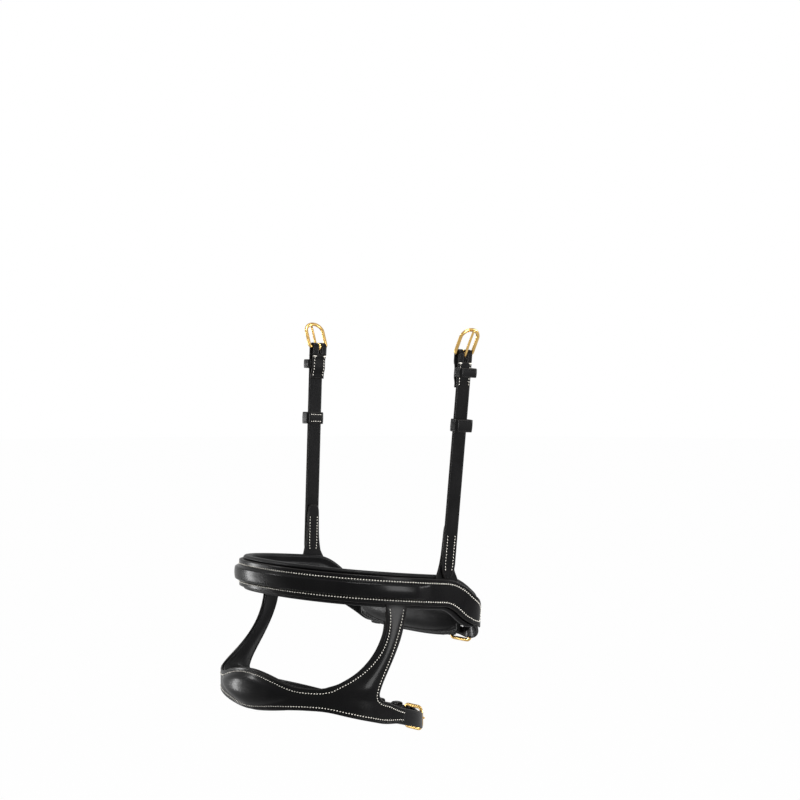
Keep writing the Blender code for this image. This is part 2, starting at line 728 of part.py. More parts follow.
def band_height(arc):
    """Height of the lower band: tall over the nose, narrow at its sides, then as wide as the chin strap."""
    away = np.abs(arc)
    nose = NOSE_HEIGHT + (NARROW_HEIGHT - NOSE_HEIGHT) * smooth(away / NOSE_TAPER)
    return nose + (ARM_HEIGHT - NARROW_HEIGHT) * smooth((away - SIDE_BACK) / (YOKE_END - SIDE_BACK))


def nose_crown(arc, height):
    """Rise of the pad moulded into the lower band over the nose."""
    length = smooth((NOSE_CROWN_LENGTH - np.abs(arc)) / (NOSE_CROWN_LENGTH * 0.7))
    half = band_height(arc) / 2 - LINING_MARGIN
    return NOSE_CROWN * length * smooth((half - np.abs(height)) / NOSE_CROWN_SHOULDER)


def bezier(a, b, c, d, steps):
    t = np.linspace(0, 1, steps)[:, None]
    return (1 - t) ** 3 * a + 3 * t * (1 - t) ** 2 * b + 3 * t * t * (1 - t) * c + t ** 3 * d


def yoke_stations(end):
    """Stations of half the lower band: at its ends and at both feet of the side strap."""
    return LOWER.stations(0, end, (SIDE_FRONT, SIDE_BACK))


def nose_columns(arcs):
    """Heights of the lower band's columns of points at each station."""
    half = band_height(arcs) / 2
    return half[:, None] * NOSE_SHARES


def side_patch(foot, top):
    """Patch of the side strap between four edges: its foot on the band, its top end and two filleted sides."""
    _, along, _, upward = LOWER.frame(np.array([SIDE_FRONT, SIDE_BACK]))
    down = unit(foot[[0, -1]].mean(axis=0) - top[[0, -1]].mean(axis=0)) * SIDE_FALL
    rearward = unit(top[-1] - top[0])
    front_fall = down + rearward * SIDE_FRONT_SWEEP
    back_fall = down + rearward * SIDE_BACK_SWEEP
    front_lead = (along[0] + upward[0] * SIDE_LIFT_SHARE) * SIDE_FRONT_FILLET
    back_lead = (upward[1] * SIDE_LIFT_SHARE - along[1]) * SIDE_BACK_FILLET
    front = bezier(foot[0], foot[0] + front_lead, top[0] + front_fall, top[0], SIDE_STEPS)
    back = bezier(foot[-1], foot[-1] + back_lead, top[-1] + back_fall, top[-1], SIDE_STEPS)
    u = np.linspace(0, 1, len(foot))[:, None, None]
    t = np.linspace(0, 1, SIDE_STEPS)[None, :, None]
    corners = (1 - u) * (1 - t) * foot[0] + u * (1 - t) * foot[-1] + (1 - u) * t * top[0] + u * t * top[-1]
    ruled = (1 - t) * foot[:, None] + t * top[:, None] + (1 - u) * front[None] + u * back[None]
    return ruled - corners


def add_yoke_layer(name, thickness, material, sheets, sink=0.0):
    """Joins open sheets along their shared edges, sinks them inwards, mirrors them at the nose and thickens them."""
    sheet = bmesh.new()
    for points in sheets:
        sheet.from_mesh(grid_mesh(name, points))
    bmesh.ops.remove_doubles(sheet, verts=sheet.verts, dist=GAP / 30)
    bmesh.ops.recalc_face_normals(sheet, faces=sheet.faces)
    sheet.normal_update()
    away = sum(face.normal.x * face.calc_area() for face in sheet.faces)
    for vert in sheet.verts:
        on_mirror = abs(vert.co.x) < GAP / 30
        vert.co -= vert.normal * math.copysign(sink, away)
        if on_mirror:
            vert.co.x = 0.0
    mesh = bpy.data.meshes.new(name)
    sheet.to_mesh(mesh)
    sheet.free()
    piece = add_object(name, mesh, material)
    add_mirror(piece)
    add_thickness(piece, thickness)
    return piece


def yoke_band(end, crowned):
    """Half of the lower band's sheet, from the nose to its end."""
    arcs = yoke_stations(end)
    heights = nose_columns(arcs)
    arc = np.repeat(arcs[:, None], len(NOSE_SHARES), axis=1)
    crown = nose_crown(arc, heights) if crowned else heights * 0
    return arcs, LOWER.point(arc, heights, OUTER_LEVEL + crown)


def add_yoke():
    """Lower yoke: outer leather that bulges over the nose pad, and its lining."""
    arcs, band = yoke_band(YOKE_END, True)
    foot = band[(arcs >= SIDE_FRONT) & (arcs <= SIDE_BACK), -1]
    tongue_foot = -BAND_HEIGHT / 2 - LINING_MARGIN
    tongue_top = SIDE_TUCK - BAND_HEIGHT / 2
    top_arcs = np.linspace(SIDE_TOP - SIDE_WIDTH / 2, SIDE_TOP + SIDE_WIDTH / 2, len(foot))
    top = UPPER.point(top_arcs, np.full(len(foot), tongue_foot), INNER_LEVEL)
    strap = side_patch(foot, top)
    arc, height = np.meshgrid(top_arcs, [tongue_foot, -BAND_HEIGHT / 2, tongue_top], indexing="ij")
    tongue = UPPER.point(arc, height, INNER_LEVEL)
    add_yoke_layer("lower_yoke_outer", YOKE_LEATHER, black_leather("yoke_leather"), [band, strap, tongue])

    _, band = yoke_band(YOKE_END - BILLET_LAP, False)
    sheets = [band, strap[:, :-2]]
    sink = OUTER_LEVEL - INNER_LEVEL
    add_yoke_layer("lower_yoke_lining", YOKE_LINING, soft_leather("yoke_lining"), sheets, sink)


def add_nose_pad_filler():
    """Filler that fills the bulge of the lower band."""
    end = NOSE_CROWN_LENGTH * 0.58
    arcs = LOWER.stations(-end, end)
    heights = nose_columns(np.abs(arcs))[:, 2:-2]
    arc = np.repeat(arcs[:, None], heights.shape[1], axis=1)
    rise = np.maximum(nose_crown(arc, heights) - 4 * GAP, GAP)
    top = LOWER.point(arc, heights, INNER_LEATHER + GAP + rise)
    floor = LOWER.point(arc, heights, np.full_like(arc, INNER_LEATHER + GAP))[:, ::-1]
    add_loft("lower_nose_filler", np.concatenate([top, floor], axis=1), filler_felt("nose_filler"))


def add_nose_pad():
    """Soft pad on the horse's side of the lower band, over the nose."""
    arcs = LOWER.stations(-NOSE_CROWN_LENGTH, NOSE_CROWN_LENGTH)
    closing = np.sqrt(np.clip(1.06 - (arcs / NOSE_CROWN_LENGTH) ** 2, 0, 1))
    height, depth = cushion_section(1, NOSE_PAD_THICKNESS, 12)
    half = (band_height(arcs) / 2 - GAP * 2) * (0.55 + 0.45 * closing)
    arc = np.repeat(arcs[:, None], len(height), axis=1)
    levels = -GAP + closing[:, None] * depth
    add_loft("lower_nose_pad", LOWER.point(arc, half[:, None] * height, levels), soft_leather("nose_pad_leather"))


class Closure:
    """Straight frame of a ring's closure behind the jaw: up the strap is towards the horse's left."""

    def __init__(self, ring, width, heel, length):
        self.ring = ring
        self.half = width / 2
        self.heel = heel
        self.length = length
        self.bar_level = INNER_LEATHER + GAP + BAR_RADIUS

    def spot(self, height, reach, level):
        """Point at a reach from the middle of the jaw, a height up the strap's width and a level outwards."""
        return self.ring.point(self.ring.length - np.asarray(reach, float), height, level)

    def at_heel(self, across, up, out):
        """Point of the rigid buckle, square to the strap at its heel bar."""
        arc = self.ring.length - self.heel
        _, along, outward, upward = self.ring.frame(arc)
        bar = self.ring.point(arc, 0.0, self.bar_level)
        across = np.asarray(across, float)[..., None]
        up = np.asarray(up, float)[..., None]
        out = np.asarray(out, float)[..., None]
        return bar + upward * across - along * up + outward * out

    def far_run(self, start, end):
        """Reaches of the ring's stations from an arc on the far side up to a reach."""
        return self.ring.stations(start, self.ring.length + end) - self.ring.length

    def near_run(self, start, end):
        """Reaches of the ring's stations from an arc on the near side up to a reach."""
        return self.ring.length - self.ring.stations(start, self.ring.length - end)


def add_chape_strap(name, closure, start):
    """Strap from a ring's far side, folded outwards round the buckle's bar and sewn down on itself."""
    fold, slot_rows = fold_path(INNER_LEATHER)
    run = closure.far_run(start, closure.heel - CHAPE_LENGTH) - closure.heel
    path = np.concatenate([np.stack([run, run * 0], axis=1), fold])
    columns = slotted_columns(closure.half)
    across = np.repeat(columns[None], len(path), axis=0)
    reach = np.repeat(path[:, :1] + closure.heel, len(columns), axis=1)
    level = np.repeat(INNER_LEVEL - path[:, 1:], len(columns), axis=1)
    add_leather(
        name,
        closure.spot(across, reach, level),
        INNER_LEATHER,
        black_leather("strap_leather"),
        holes=[(len(run), len(run) + slot_rows - 1, 1, 1)],
    )


def with_marks(path, marks):
    """The same path with points added where its first coordinate passes each mark."""
    order = path[:, 0]
    extra = [mark for mark in marks if np.abs(order - mark).min() > GAP]
    reaches = np.sort(np.concatenate([order, extra]))[::-1]
    levels = np.interp(-reaches, -order, path[:, 1])
    return np.stack([reaches, levels], axis=1)


def add_billet(name, closure, start, tip):
    """Strap from a ring's near side, threaded through the buckle, its tip lying over the chape strap."""
    fold_top = closure.bar_level + BAR_RADIUS + GAP + INNER_LEATHER
    over_fold = fold_top + 2 * GAP + INNER_LEVEL
    over_seat = INNER_LEATHER + KEEPER_LEATHER + 2 * GAP + INNER_LEATHER + 2 * GAP + INNER_LEVEL
    over_chape = 2 * (INNER_LEATHER + GAP) + GAP + INNER_LEVEL
    heel = closure.heel
    run = closure.near_run(start, heel + closure.length)
    corners = [
        (run[-1], INNER_LEVEL),
        (heel + closure.length * 0.9, INNER_LEVEL),
        (heel + BAR_RADIUS * 2, over_fold),
        (heel - SLOT_REACH * 1.1, over_fold),
        (heel - CHAPE_LENGTH * KEEPER_SEAT_START_SHARE * 1.02, over_seat),
        (heel - CHAPE_LENGTH * KEEPER_SEAT_END_SHARE, over_seat),
        (heel - CHAPE_LENGTH, over_chape),
        (tip + closure.half * 1.2, over_chape),
        (tip + closure.half * 0.5, over_chape),
        (tip, over_chape),
    ]
    bends = round_bends(corners, BAR_RADIUS * 2, 3)
    hole = (heel + closure.length * 0.68, heel - BAR_RADIUS)
    path = np.concatenate([np.stack([run[:-1], run[:-1] * 0 + INNER_LEVEL], axis=1), bends])
    path = with_marks(path, hole)
    half = closure.half - GAP * 2
    ends = np.sqrt(np.clip((path[:, 0] - tip) / (closure.half * 1.2), 0, 1)) * 0.65 + 0.35
    columns = slotted_columns(half)
    across = columns[None] * ends[:, None]
    across[:, 1:3] = columns[1:3]
    reach = np.repeat(path[:, :1], len(columns), axis=1)
    level = np.repeat(path[:, 1:], len(columns), axis=1)
    middles = (path[:-1, 0] + path[1:, 0]) / 2
    rows = np.flatnonzero((middles < hole[0]) & (middles > hole[1]))
    add_leather(
        name,
        closure.spot(across, reach, level),
        INNER_LEATHER,
        black_leather("billet_leather"),
        holes=[(int(rows[0]), int(rows[-1]), 1, 1)],
    )


def add_closure(label, ring, width, heel, length, runner):
    """Buckle, tongue and keepers of one closure."""
    closure = Closure(ring, width, heel, length)
    half_width = closure.half + GAP * 2 + BAR_RADIUS
    add_buckle_frame(label + "_buckle_frame", closure.at_heel, half_width, length, False)
    add_tongue(label + "_buckle_tongue", closure.at_heel, length)
    half_loop = closure.half + KEEPER_SLACK + KEEPER_LEATHER / 2
    seat = INNER_LEATHER + KEEPER_LEATHER + 2 * GAP
    inner = INNER_LEATHER + GAP + KEEPER_LEATHER / 2
    outer = seat + 2 * INNER_LEATHER + 2 * GAP + KEEPER_SLACK + KEEPER_LEATHER / 2
    middle = heel - CHAPE_LENGTH * (KEEPER_SEAT_START_SHARE + KEEPER_SEAT_END_SHARE) / 2
    add_keeper(label + "_fixed_keeper", closure.spot, middle, half_loop, inner, outer, FIXED_KEEPER_WIDTH)
    inner = -(GAP + KEEPER_LEATHER / 2)
    outer = 3 * (INNER_LEATHER + GAP) + KEEPER_SLACK + KEEPER_LEATHER / 2
    add_keeper(label + "_runner_keeper", closure.spot, runner, half_loop, inner, outer)
    return closure


def add_jaw_pad(closure):
    """Padded jaw piece inside the jaw strap, with a leather sleeve sewn on its back that the strap runs through."""
    back = -(KEEPER_LEATHER + 2 * GAP) - GAP
    reach = np.linspace(-1, 1, 27)
    swell = np.sqrt(np.clip(1.03 - np.abs(reach) ** 2.6, 0, 1))
    height, depth = cushion_section(PAD_HEIGHT / 2, PAD_THICKNESS, 16)
    heights = PAD_RISE + (0.45 + 0.55 * swell)[:, None] * height
    levels = back + (0.3 + 0.7 * swell)[:, None] * depth
    reaches = np.repeat((PAD_MIDDLE + reach * PAD_LENGTH / 2)[:, None], len(height), axis=1)
    middle = closure.spot(heights * 0, reaches * 0, levels)
    along = np.array([1.0, 0, 0])
    upward = np.array([0.0, 0, 1.0])
    points = middle + along * reaches[..., None] + upward * heights[..., None]
    add_loft("jaw_pad", points, soft_leather("pad_leather"))

    outer = INNER_LEATHER + GAP + KEEPER_LEATHER / 2
    edge = closure.half + GAP * 2
    foot = back + GAP + KEEPER_LEATHER / 2
    flange = PAD_HEIGHT / 2 * 0.78
    corners = [
        (PAD_RISE - flange, foot),
        (-edge - KEEPER_LEATHER, foot),
        (-edge - KEEPER_LEATHER / 2, outer),
        (edge + KEEPER_LEATHER / 2, outer),
        (edge + KEEPER_LEATHER, foot),
        (PAD_RISE + flange, foot),
    ]
    path = round_bends(corners, KEEPER_LEATHER, 4)
    ups = np.linspace(SLEEVE_END, SLEEVE_START, 2)
    across, up = np.meshgrid(path[:, 0], ups, indexing="ij")
    out, _ = np.meshgrid(path[:, 1], ups, indexing="ij")
    add_leather("jaw_pad_sleeve", closure.spot(across, up, out), KEEPER_LEATHER, black_leather("sleeve_leather"))


def build():
    for side in SIDE_NAMES:
        add_cheek_strap(side)
        add_cheek_tab(side)
        add_cheek_buckle(side)
    add_nose_band()
    add_band_backing()
    add_band_lining()
    add_yoke()
    add_nose_pad_filler()
    add_nose_pad()
    jaw = add_closure("jaw", UPPER, JAW_STRAP_WIDTH, JAW_HEEL, JAW_FRAME_LENGTH, JAW_RUNNER)
    lap = BAND_END - BILLET_LAP + GAP
    add_chape_strap("jaw_strap", jaw, lap)
    add_billet("jaw_billet", jaw, lap, JAW_TIP)
    add_jaw_pad(jaw)
    chin = add_closure("chin", LOWER, CHIN_STRAP_WIDTH, CHIN_HEEL, CHIN_FRAME_LENGTH, CHIN_RUNNER)
    lap = YOKE_END - BILLET_LAP + 2 * GAP
    add_chape_strap("chin_strap", chin, lap)
    add_billet("chin_billet", chin, lap, CHIN_TIP)


clear_scene()
PARTS = bpy.data.collections.new("double_noseband")
bpy.context.scene.collection.children.link(PARTS)
build()
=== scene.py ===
"""Looks of a double noseband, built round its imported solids. All sizes are in metres."""
import math

import bpy
import numpy as np
from mathutils import Matrix


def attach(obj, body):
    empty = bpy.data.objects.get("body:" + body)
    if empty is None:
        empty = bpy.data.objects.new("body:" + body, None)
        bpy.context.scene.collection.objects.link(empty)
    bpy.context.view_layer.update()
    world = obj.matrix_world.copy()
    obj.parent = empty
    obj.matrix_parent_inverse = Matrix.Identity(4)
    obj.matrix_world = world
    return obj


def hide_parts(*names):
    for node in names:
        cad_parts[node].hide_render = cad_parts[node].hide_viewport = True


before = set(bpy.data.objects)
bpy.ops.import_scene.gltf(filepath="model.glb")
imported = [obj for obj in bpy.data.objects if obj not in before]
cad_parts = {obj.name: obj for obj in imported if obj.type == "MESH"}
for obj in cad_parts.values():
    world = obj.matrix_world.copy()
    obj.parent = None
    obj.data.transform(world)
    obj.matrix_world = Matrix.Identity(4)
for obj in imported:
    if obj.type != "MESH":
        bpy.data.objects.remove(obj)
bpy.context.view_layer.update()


# Nose band: one strip of black bridle leather that lies round the nose and both cheeks.
# Its front is moulded over a felt filler, between two rows of stitching that hold the layers together.
GAP = 0.0003
INNER_LEATHER = 0.0020
OUTER_LEATHER = 0.0022
OUTER_LEVEL = INNER_LEATHER + GAP + OUTER_LEATHER / 2
INNER_LEVEL = INNER_LEATHER / 2
PLAN_STEPS = 900
BAND_HEIGHT = 0.025
BAND_CROWN = 0.0045
CROWN_HALF = 0.0082
CROWN_SHOULDER = 0.0030
SEAM_INSET = 0.0040
EDGE_ROUND = 0.45


def smooth(value):
    """Rise from 0 to 1 with level ends: 3t2 - 2t3 of the clipped value t."""
    t = np.clip(value, 0.0, 1.0)
    return t * t * (3 - 2 * t)


def arch(value):
    """Rise from 0 to 1 along a quarter circle: upright at 0, level at 1."""
    return np.sqrt(1 - (1 - np.clip(value, 0, 1)) ** 2)


def bell(value, width):
    """1 where the value is 0, falling to almost nothing two widths away."""
    return np.exp(-((value / width) ** 2))


def eased(value, start, ease):
    """Distance past start, its corner rounded by a parabola that reaches over ease to each side."""
    d = np.clip(value - start, -ease, ease)
    return np.where(value > start + ease, value - start, (d + ease) ** 2 / (4 * ease))


def unit(vectors):
    """Vectors divided by their lengths."""
    return vectors / np.linalg.norm(vectors, axis=-1, keepdims=True)


def circle(turn):
    """Points (cos, sin) of the unit circle."""
    return np.stack([np.cos(turn), np.sin(turn)], axis=-1)


def scales(*values):
    """Numbers or arrays, all of one shape, ready to be multiplied with vectors."""
    return (np.asarray(value, float)[..., None] for value in np.broadcast_arrays(*values))


def grid_of(rows, columns):
    """Both coordinates of every point of a grid."""
    return np.meshgrid(rows, columns, indexing="ij")


def lengths_along(line):
    """Distance of each point of a line from its start, along the line."""
    return np.concatenate([[0.0], np.cumsum(np.linalg.norm(np.diff(line, axis=0), axis=1))])


def along_line(line, lengths, where):
    """Points of a line at the distances where."""
    return np.stack([np.interp(where, lengths, column) for column in line.T], axis=-1)


class Ring:
    """A closed path round the nose, the same on both sides, measured by its arc length from the nose.

    A place is the seam point at an arc, plus a height along the band's width and a level along its normal.
    """

    def __init__(self, plan, fall):
        self.half_arc = lengths_along(plan)
        self.half_plan = plan
        self.length = self.half_arc[-1]
        self.fall = fall

    def seam(self, arc):
        """Point of the path at an arc: the half plan's, on the arc's side, lowered by the fall there."""
        arc = (np.asarray(arc, float) + self.length) % (2 * self.length) - self.length
        plan = along_line(self.half_plan, self.half_arc, np.abs(arc))
        drop = self.fall(np.abs(arc), plan[..., 1])
        return np.stack([plan[..., 0] * np.sign(arc), plan[..., 1], -drop], axis=-1)

    def frame(self, arc):
        """Seam point, direction, outward normal and upward direction, from the path a step to each side."""
        step = 0.0015
        along = unit(self.seam(arc + step) - self.seam(arc - step))
        outward = unit(np.stack([along[..., 1], -along[..., 0], along[..., 0] * 0], axis=-1))
        return self.seam(arc), along, outward, np.cross(outward, along)

    def point(self, arc, height, level):
        """The place at an arc: its seam point, moved up by the height and out by the level."""
        arc, height, level = scales(arc, height, level)
        seam, _, outward, upward = self.frame(arc[..., 0])
        return seam + upward * height + outward * level


def upper_plan():
    """Half the band from above: a superellipse of power 2.4 over the nose, straight sides, a round corner."""
    half_width, nose_reach, jaw_reach, corner_radius = 0.098, 0.127, 0.052, 0.022
    turn = np.linspace(0, math.pi / 2, PLAN_STEPS)
    power = 2 / 2.4
    nose = circle(turn)[:, ::-1] ** power * [half_width, -nose_reach]
    corner = [half_width - corner_radius, jaw_reach - corner_radius] + corner_radius * circle(turn)
    return np.concatenate([nose, corner, [[0.0, jaw_reach]]]) - [0, 0.016]


def upper_fall(arc, y):
    """Drop below the cheek buckles: an even slope from the nose, then a steeper one behind the straps."""
    drop_at_nose, lean, nose_front, lean_end = 0.203, 0.118, -0.143, 0.014
    descent, run, start_ease, end_ease = 0.0362, 0.0512, 0.012, 0.0035
    start = CHEEK_ARC + start_ease
    steep = eased(arc, start, start_ease) - eased(arc, start + run, end_ease)
    return drop_at_nose + lean * (np.minimum(y, lean_end) - nose_front) + descent / run * steep


UPPER = Ring(upper_plan(), upper_fall)
SIDE_TOP_Y = -0.0666
CHEEK_ARC = float(UPPER.half_arc[PLAN_STEPS - 1])
CORNER_ARC = float(UPPER.half_arc[PLAN_STEPS])
SIDE_TOP = float(np.interp(SIDE_TOP_Y, UPPER.half_plan[:PLAN_STEPS, 1], UPPER.half_arc[:PLAN_STEPS]))
BAND_END = CORNER_ARC + 0.0185
CROWN_END = CHEEK_ARC - 0.016


def crown_rise(arc, height):
    """Rise of the moulded front: a smooth shoulder beside each seam, and a smooth fade at both ends."""
    fade, rounding = 0.022, 0.30
    across = smooth((CROWN_HALF - np.abs(height)) / CROWN_SHOULDER)
    round_top = 1 - rounding * (height / CROWN_HALF) ** 2
    along = smooth((CROWN_END - np.abs(arc)) / fade)
    return BAND_CROWN * across * along * round_top


def band_half(arc):
    """Half height of the band: 12.5 mm, narrowing smoothly to 9 mm over the last 14 mm before each end."""
    narrowing, over = 0.0035, 0.014
    return BAND_HEIGHT / 2 - narrowing * smooth(1 - (BAND_END - np.abs(arc)) / over)


EDGE_SHARES = 1 - np.cos(np.linspace(0, math.pi / 2, 5))


def spread(start, end, step, cuts=(), radius=0.001):
    """Distances from start to end, even by about step, and closer beside the two ends and beside each cut."""
    steps = EDGE_SHARES * radius
    near = [start + steps, end - steps]
    near += [cut + sign * steps for cut in cuts for sign in (-1, 1)]
    near = np.unique(np.round(np.concatenate(near), 7))
    near = near[(near > start - 1e-7) & (near < end + 1e-7)]
    even = np.linspace(start, end, max(3, math.ceil((end - start) / step)))
    apart = np.abs(even[:, None] - near).min(axis=1)
    return np.sort(np.concatenate([near, even[apart > 0.4 * step]]))


def add_object(name, data):
    """A new object in the scene, made of its data."""
    made = bpy.data.objects.new(name, data)
    bpy.context.scene.collection.objects.link(made)
    return made


def mesh_object(name, verts, faces, edge=None):
    """A mesh object from vertices (n, 3) and quads (m, 4), turned the right way by its signed volume."""
    used, index = np.unique(faces, return_inverse=True)
    faces = index.reshape(faces.shape)
    verts = verts[used]
    corner = verts[faces]
    fans = [np.einsum("ij,ij->i", corner[:, 0], np.cross(corner[:, k], corner[:, k + 1])) for k in (1, 2)]
    if sum(fan.sum() for fan in fans) < 0:
        faces = faces[:, ::-1]
    mesh = bpy.data.meshes.new(name)
    mesh.from_pydata(verts.tolist(), [], faces.tolist())
    if edge is not None:
        layer = mesh.attributes.new("edge", "FLOAT", "POINT")
        layer.data.foreach_set("value", np.asarray(edge, np.float32)[used])
    mesh.shade_smooth()
    mesh.update()
    return add_object(name, mesh)


def quads(index, around=False, closed=False):
    """Quads of a grid of vertex numbers. around joins the last column to the first, closed the last row."""
    if around:
        index = np.concatenate([index, index[:, :1]], axis=1)
    if closed:
        index = np.concatenate([index, index[:1]], axis=0)
    corners = [index[:-1, :-1], index[1:, :-1], index[1:, 1:], index[:-1, 1:]]
    return np.stack([corner.ravel() for corner in corners], axis=1)


def two_faced(name, outer, inner, faces, distance):
    """Leather from its outer and inner face, which share their points on the cut edges, at distance 0.

    The distance from the nearest cut is kept in the attribute edge. Faces where it is below 0 are left out.
    """
    free = distance > 1e-7
    other = np.where(free, len(outer) + np.cumsum(free) - 1, np.arange(len(outer)))
    faces = faces[~(distance < -1e-7)[faces].any(axis=1)]
    verts = np.concatenate([outer, inner[free]])
    faces = np.concatenate([faces, other[faces][:, ::-1]])
    return mesh_object(name, verts, faces, np.concatenate([distance, distance[free]]))


def leather_piece(name, place, run, height, distance, thickness, level, lift=0.0, under=None, radius=None):
    """Leather cut to an outline and thickened to both sides of its level, with cut edges rounded over radius.

    place(run, height, level) carries it to its place. lift moves the outer face and under the inner one.
    """
    under = lift if under is None else under
    half = thickness / 2 * arch(distance / (radius or thickness * EDGE_ROUND))
    outer = place(run, height, level + lift + half)
    inner = place(run, height, level + under - half)
    faces = quads(np.arange(height.size).reshape(height.shape))
    return two_faced(name, outer.reshape(-1, 3), inner.reshape(-1, 3), faces, distance.ravel())


def off_cuts(half, height, end, arc):
    """Distance from the nearest cut edge: the lesser of those from a strip's long edge and from its end."""
    return np.minimum(half - np.abs(height), end - np.abs(arc))


def node_operator(operation, swapped=False):
    """An operator of Value, which adds a Math node."""

    def method(value, other):
        """The node's result for both numbers."""
        return value.nodes.math(operation, *((other, value) if swapped else (value, other)))

    return method


class Value:
    """A number that changes over a surface. Its operators add the Math nodes of the expression."""

    __add__ = __radd__ = node_operator("ADD")
    __mul__ = __rmul__ = node_operator("MULTIPLY")
    __sub__ = node_operator("SUBTRACT")
    __rsub__ = node_operator("SUBTRACT", swapped=True)
    __truediv__ = node_operator("DIVIDE")

    def __init__(self, nodes, socket):
        self.nodes = nodes
        self.socket = socket

    def clipped(self):
        """The number, held between 0 and 1."""
        return self.nodes.math("MAXIMUM", self.nodes.math("MINIMUM", self, 1.0), 0.0)

    def apart(self, number):
        """How far it is from another number."""
        return self.nodes.math("ABSOLUTE", self - number)


class Nodes:
    """The node tree of a material or of the world."""

    def __init__(self, holder):
        holder.use_nodes = True
        self.tree = holder.node_tree

    def feed(self, node, values):
        """Sets the sockets of a node to numbers, or links them."""
        for key, value in values.items():
            socket = node.inputs[key]
            value = value.socket if isinstance(value, Value) else value
            if isinstance(value, bpy.types.NodeSocket):
                self.tree.links.new(value, socket)
            else:
                socket.default_value = value

    def node(self, kind, settings=None, values=None):
        """Any node: its type, its settings and the numbers or links of its sockets."""
        made = self.tree.nodes.new(kind)
        for key, value in (settings or {}).items():
            setattr(made, key, value)
        self.feed(made, values or {})
        return made

    def math(self, operation, *numbers):
        """Result of a Math node on one or two numbers."""
        made = self.node("ShaderNodeMath", {"operation": operation}, dict(enumerate(numbers)))
        return Value(self, made.outputs[0])

    def mix(self, factor, a, b):
        """Colour a where the factor is 0, b where it is 1, and a blend between."""
        return self.node("ShaderNodeMix", {"data_type": "RGBA"}, {0: factor, 6: a, 7: b}).outputs[2]

    def seen_by(self, first, *others):
        """1 for the named kinds of ray, 0 for all others."""
        rays = self.node("ShaderNodeLightPath").outputs
        seen = rays[first]
        for other in others:
            seen = self.math("MAXIMUM", seen, rays[other])
        return seen


class Finish(Nodes):
    """A material in the making, with one Principled shader. Its patterns lie in the object's own space."""

    def __init__(self, name, **sockets):
        self.material = bpy.data.materials.new(name)
        super().__init__(self.material)
        self.shader = self.tree.nodes["Principled BSDF"]
        self.feed(self.shader, {key.replace("_", " "): value for key, value in sockets.items()})
        self.where = self.node("ShaderNodeTexCoord").outputs["Object"]

    def noise(self, scale, detail=3.0, distortion=0.0):
        """Clouds of noise, about so many to the metre, from 0 to 1."""
        values = {"Vector": self.where, "Scale": scale, "Detail": detail, "Distortion": distortion}
        return Value(self, self.node("ShaderNodeTexNoise", None, values).outputs[0])

    def cells(self, scale):
        """Soft distance from scattered points, about so many to the metre."""
        values = {"Vector": self.where, "Scale": scale, "Smoothness": 0.6}
        return Value(self, self.node("ShaderNodeTexVoronoi", {"feature": "SMOOTH_F1"}, values).outputs[0])

    def off_edge(self):
        """Distance from the nearest cut edge, which the mesh keeps."""
        return Value(self, self.node("ShaderNodeAttribute", {"attribute_name": "edge"}).outputs["Fac"])

    def surface(self, color, roughness, height, depth):
        """Feeds the shader: colour, roughness, and a bump whose full height is depth."""
        bump = self.node("ShaderNodeBump", None, {"Strength": 1.0, "Distance": depth, "Height": height})
        self.feed(self.shader, {"Base Color": color, "Roughness": roughness, "Normal": bump.outputs[0]})
        return self.material


BLACK = (0.0016, 0.0016, 0.0018, 1)
WORN_BLACK = (0.0050, 0.0048, 0.0050, 1)
CUT_EDGE = (0.0150, 0.0138, 0.0130, 1)


def leather_finish(name, seam=0.0, roughness=0.27, grain=1.0, coat=0.07, groove=0.0005):
    """Dyed, waxed leather: clouded black, grain over faint creases, a pressed line at the distance seam."""
    finish = Finish(name, Specular_IOR_Level=0.035, Coat_Weight=coat, Coat_Roughness=0.15)
    cloud = finish.noise(46, 4.0, 0.4)
    crease = finish.noise(330, 5.0, 1.2)
    grain_cells = finish.cells(1500)
    pores = finish.noise(4200, 2.0)
    edge = finish.off_edge()
    worn = (1 - edge / 0.0011).clipped()
    color = finish.mix((cloud * 1.6 - 0.4).clipped(), BLACK, WORN_BLACK)
    color = finish.mix((worn * (0.35 + cloud)).clipped(), color, CUT_EDGE)
    rough = roughness - 0.07 + cloud * 0.10 + crease * 0.06 + worn * 0.12
    height = grain_cells * (0.30 * grain) + crease * (0.55 * grain) + pores * (0.12 * grain)
    if seam:
        line = (1 - edge.apart(seam) / groove).clipped()
        height = height - line * 2.4
        rough = rough - line * 0.05
    return finish.surface(color, rough, height, 0.00007)


def dress(piece, material, slot, body, *nodes):
    """Gives a finished piece its material, its body and the solids that it stands for. The slot is not used.
    """
    piece.data.materials.append(material)
    if nodes:
        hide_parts(*nodes)
    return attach(piece, body)


def strip(end, step, width_step, cuts=(), radius=0.001, half=1.0, across=0.08):
    """Run and height of every grid point of a strip, from -end to end and from -half to half.

    The points stand closer over radius beside the ends and the cuts, and over across beside the long edges.
    """
    return grid_of(spread(-end, end, step, cuts, radius), spread(-half, half, width_step, (), across))


arc, share = strip(BAND_END, 0.0016, 0.036)
height = band_half(arc) * share
cut_distance = off_cuts(band_half(arc), height, BAND_END, arc)
rise = crown_rise(arc, height)
band = leather_piece(
    "nose_band_leather", UPPER.point, arc, height, cut_distance, OUTER_LEATHER, OUTER_LEVEL, rise
)
BAND_FINISH = leather_finish("smooth black leather", SEAM_INSET)
dress(band, BAND_FINISH, "black_leather", "noseband", "nose_band_outer")


# Stitching of the nose band: waxed cream thread in two rows, one beside each shoulder of the moulded front.
# Each row ends at the strip's end, where a short row across it closes the seam.
PITCH = 0.0027
THREAD = 0.00080
BAND_THREAD = 0.00105
BEAD_RINGS = 5
BEAD_SIDES = 6


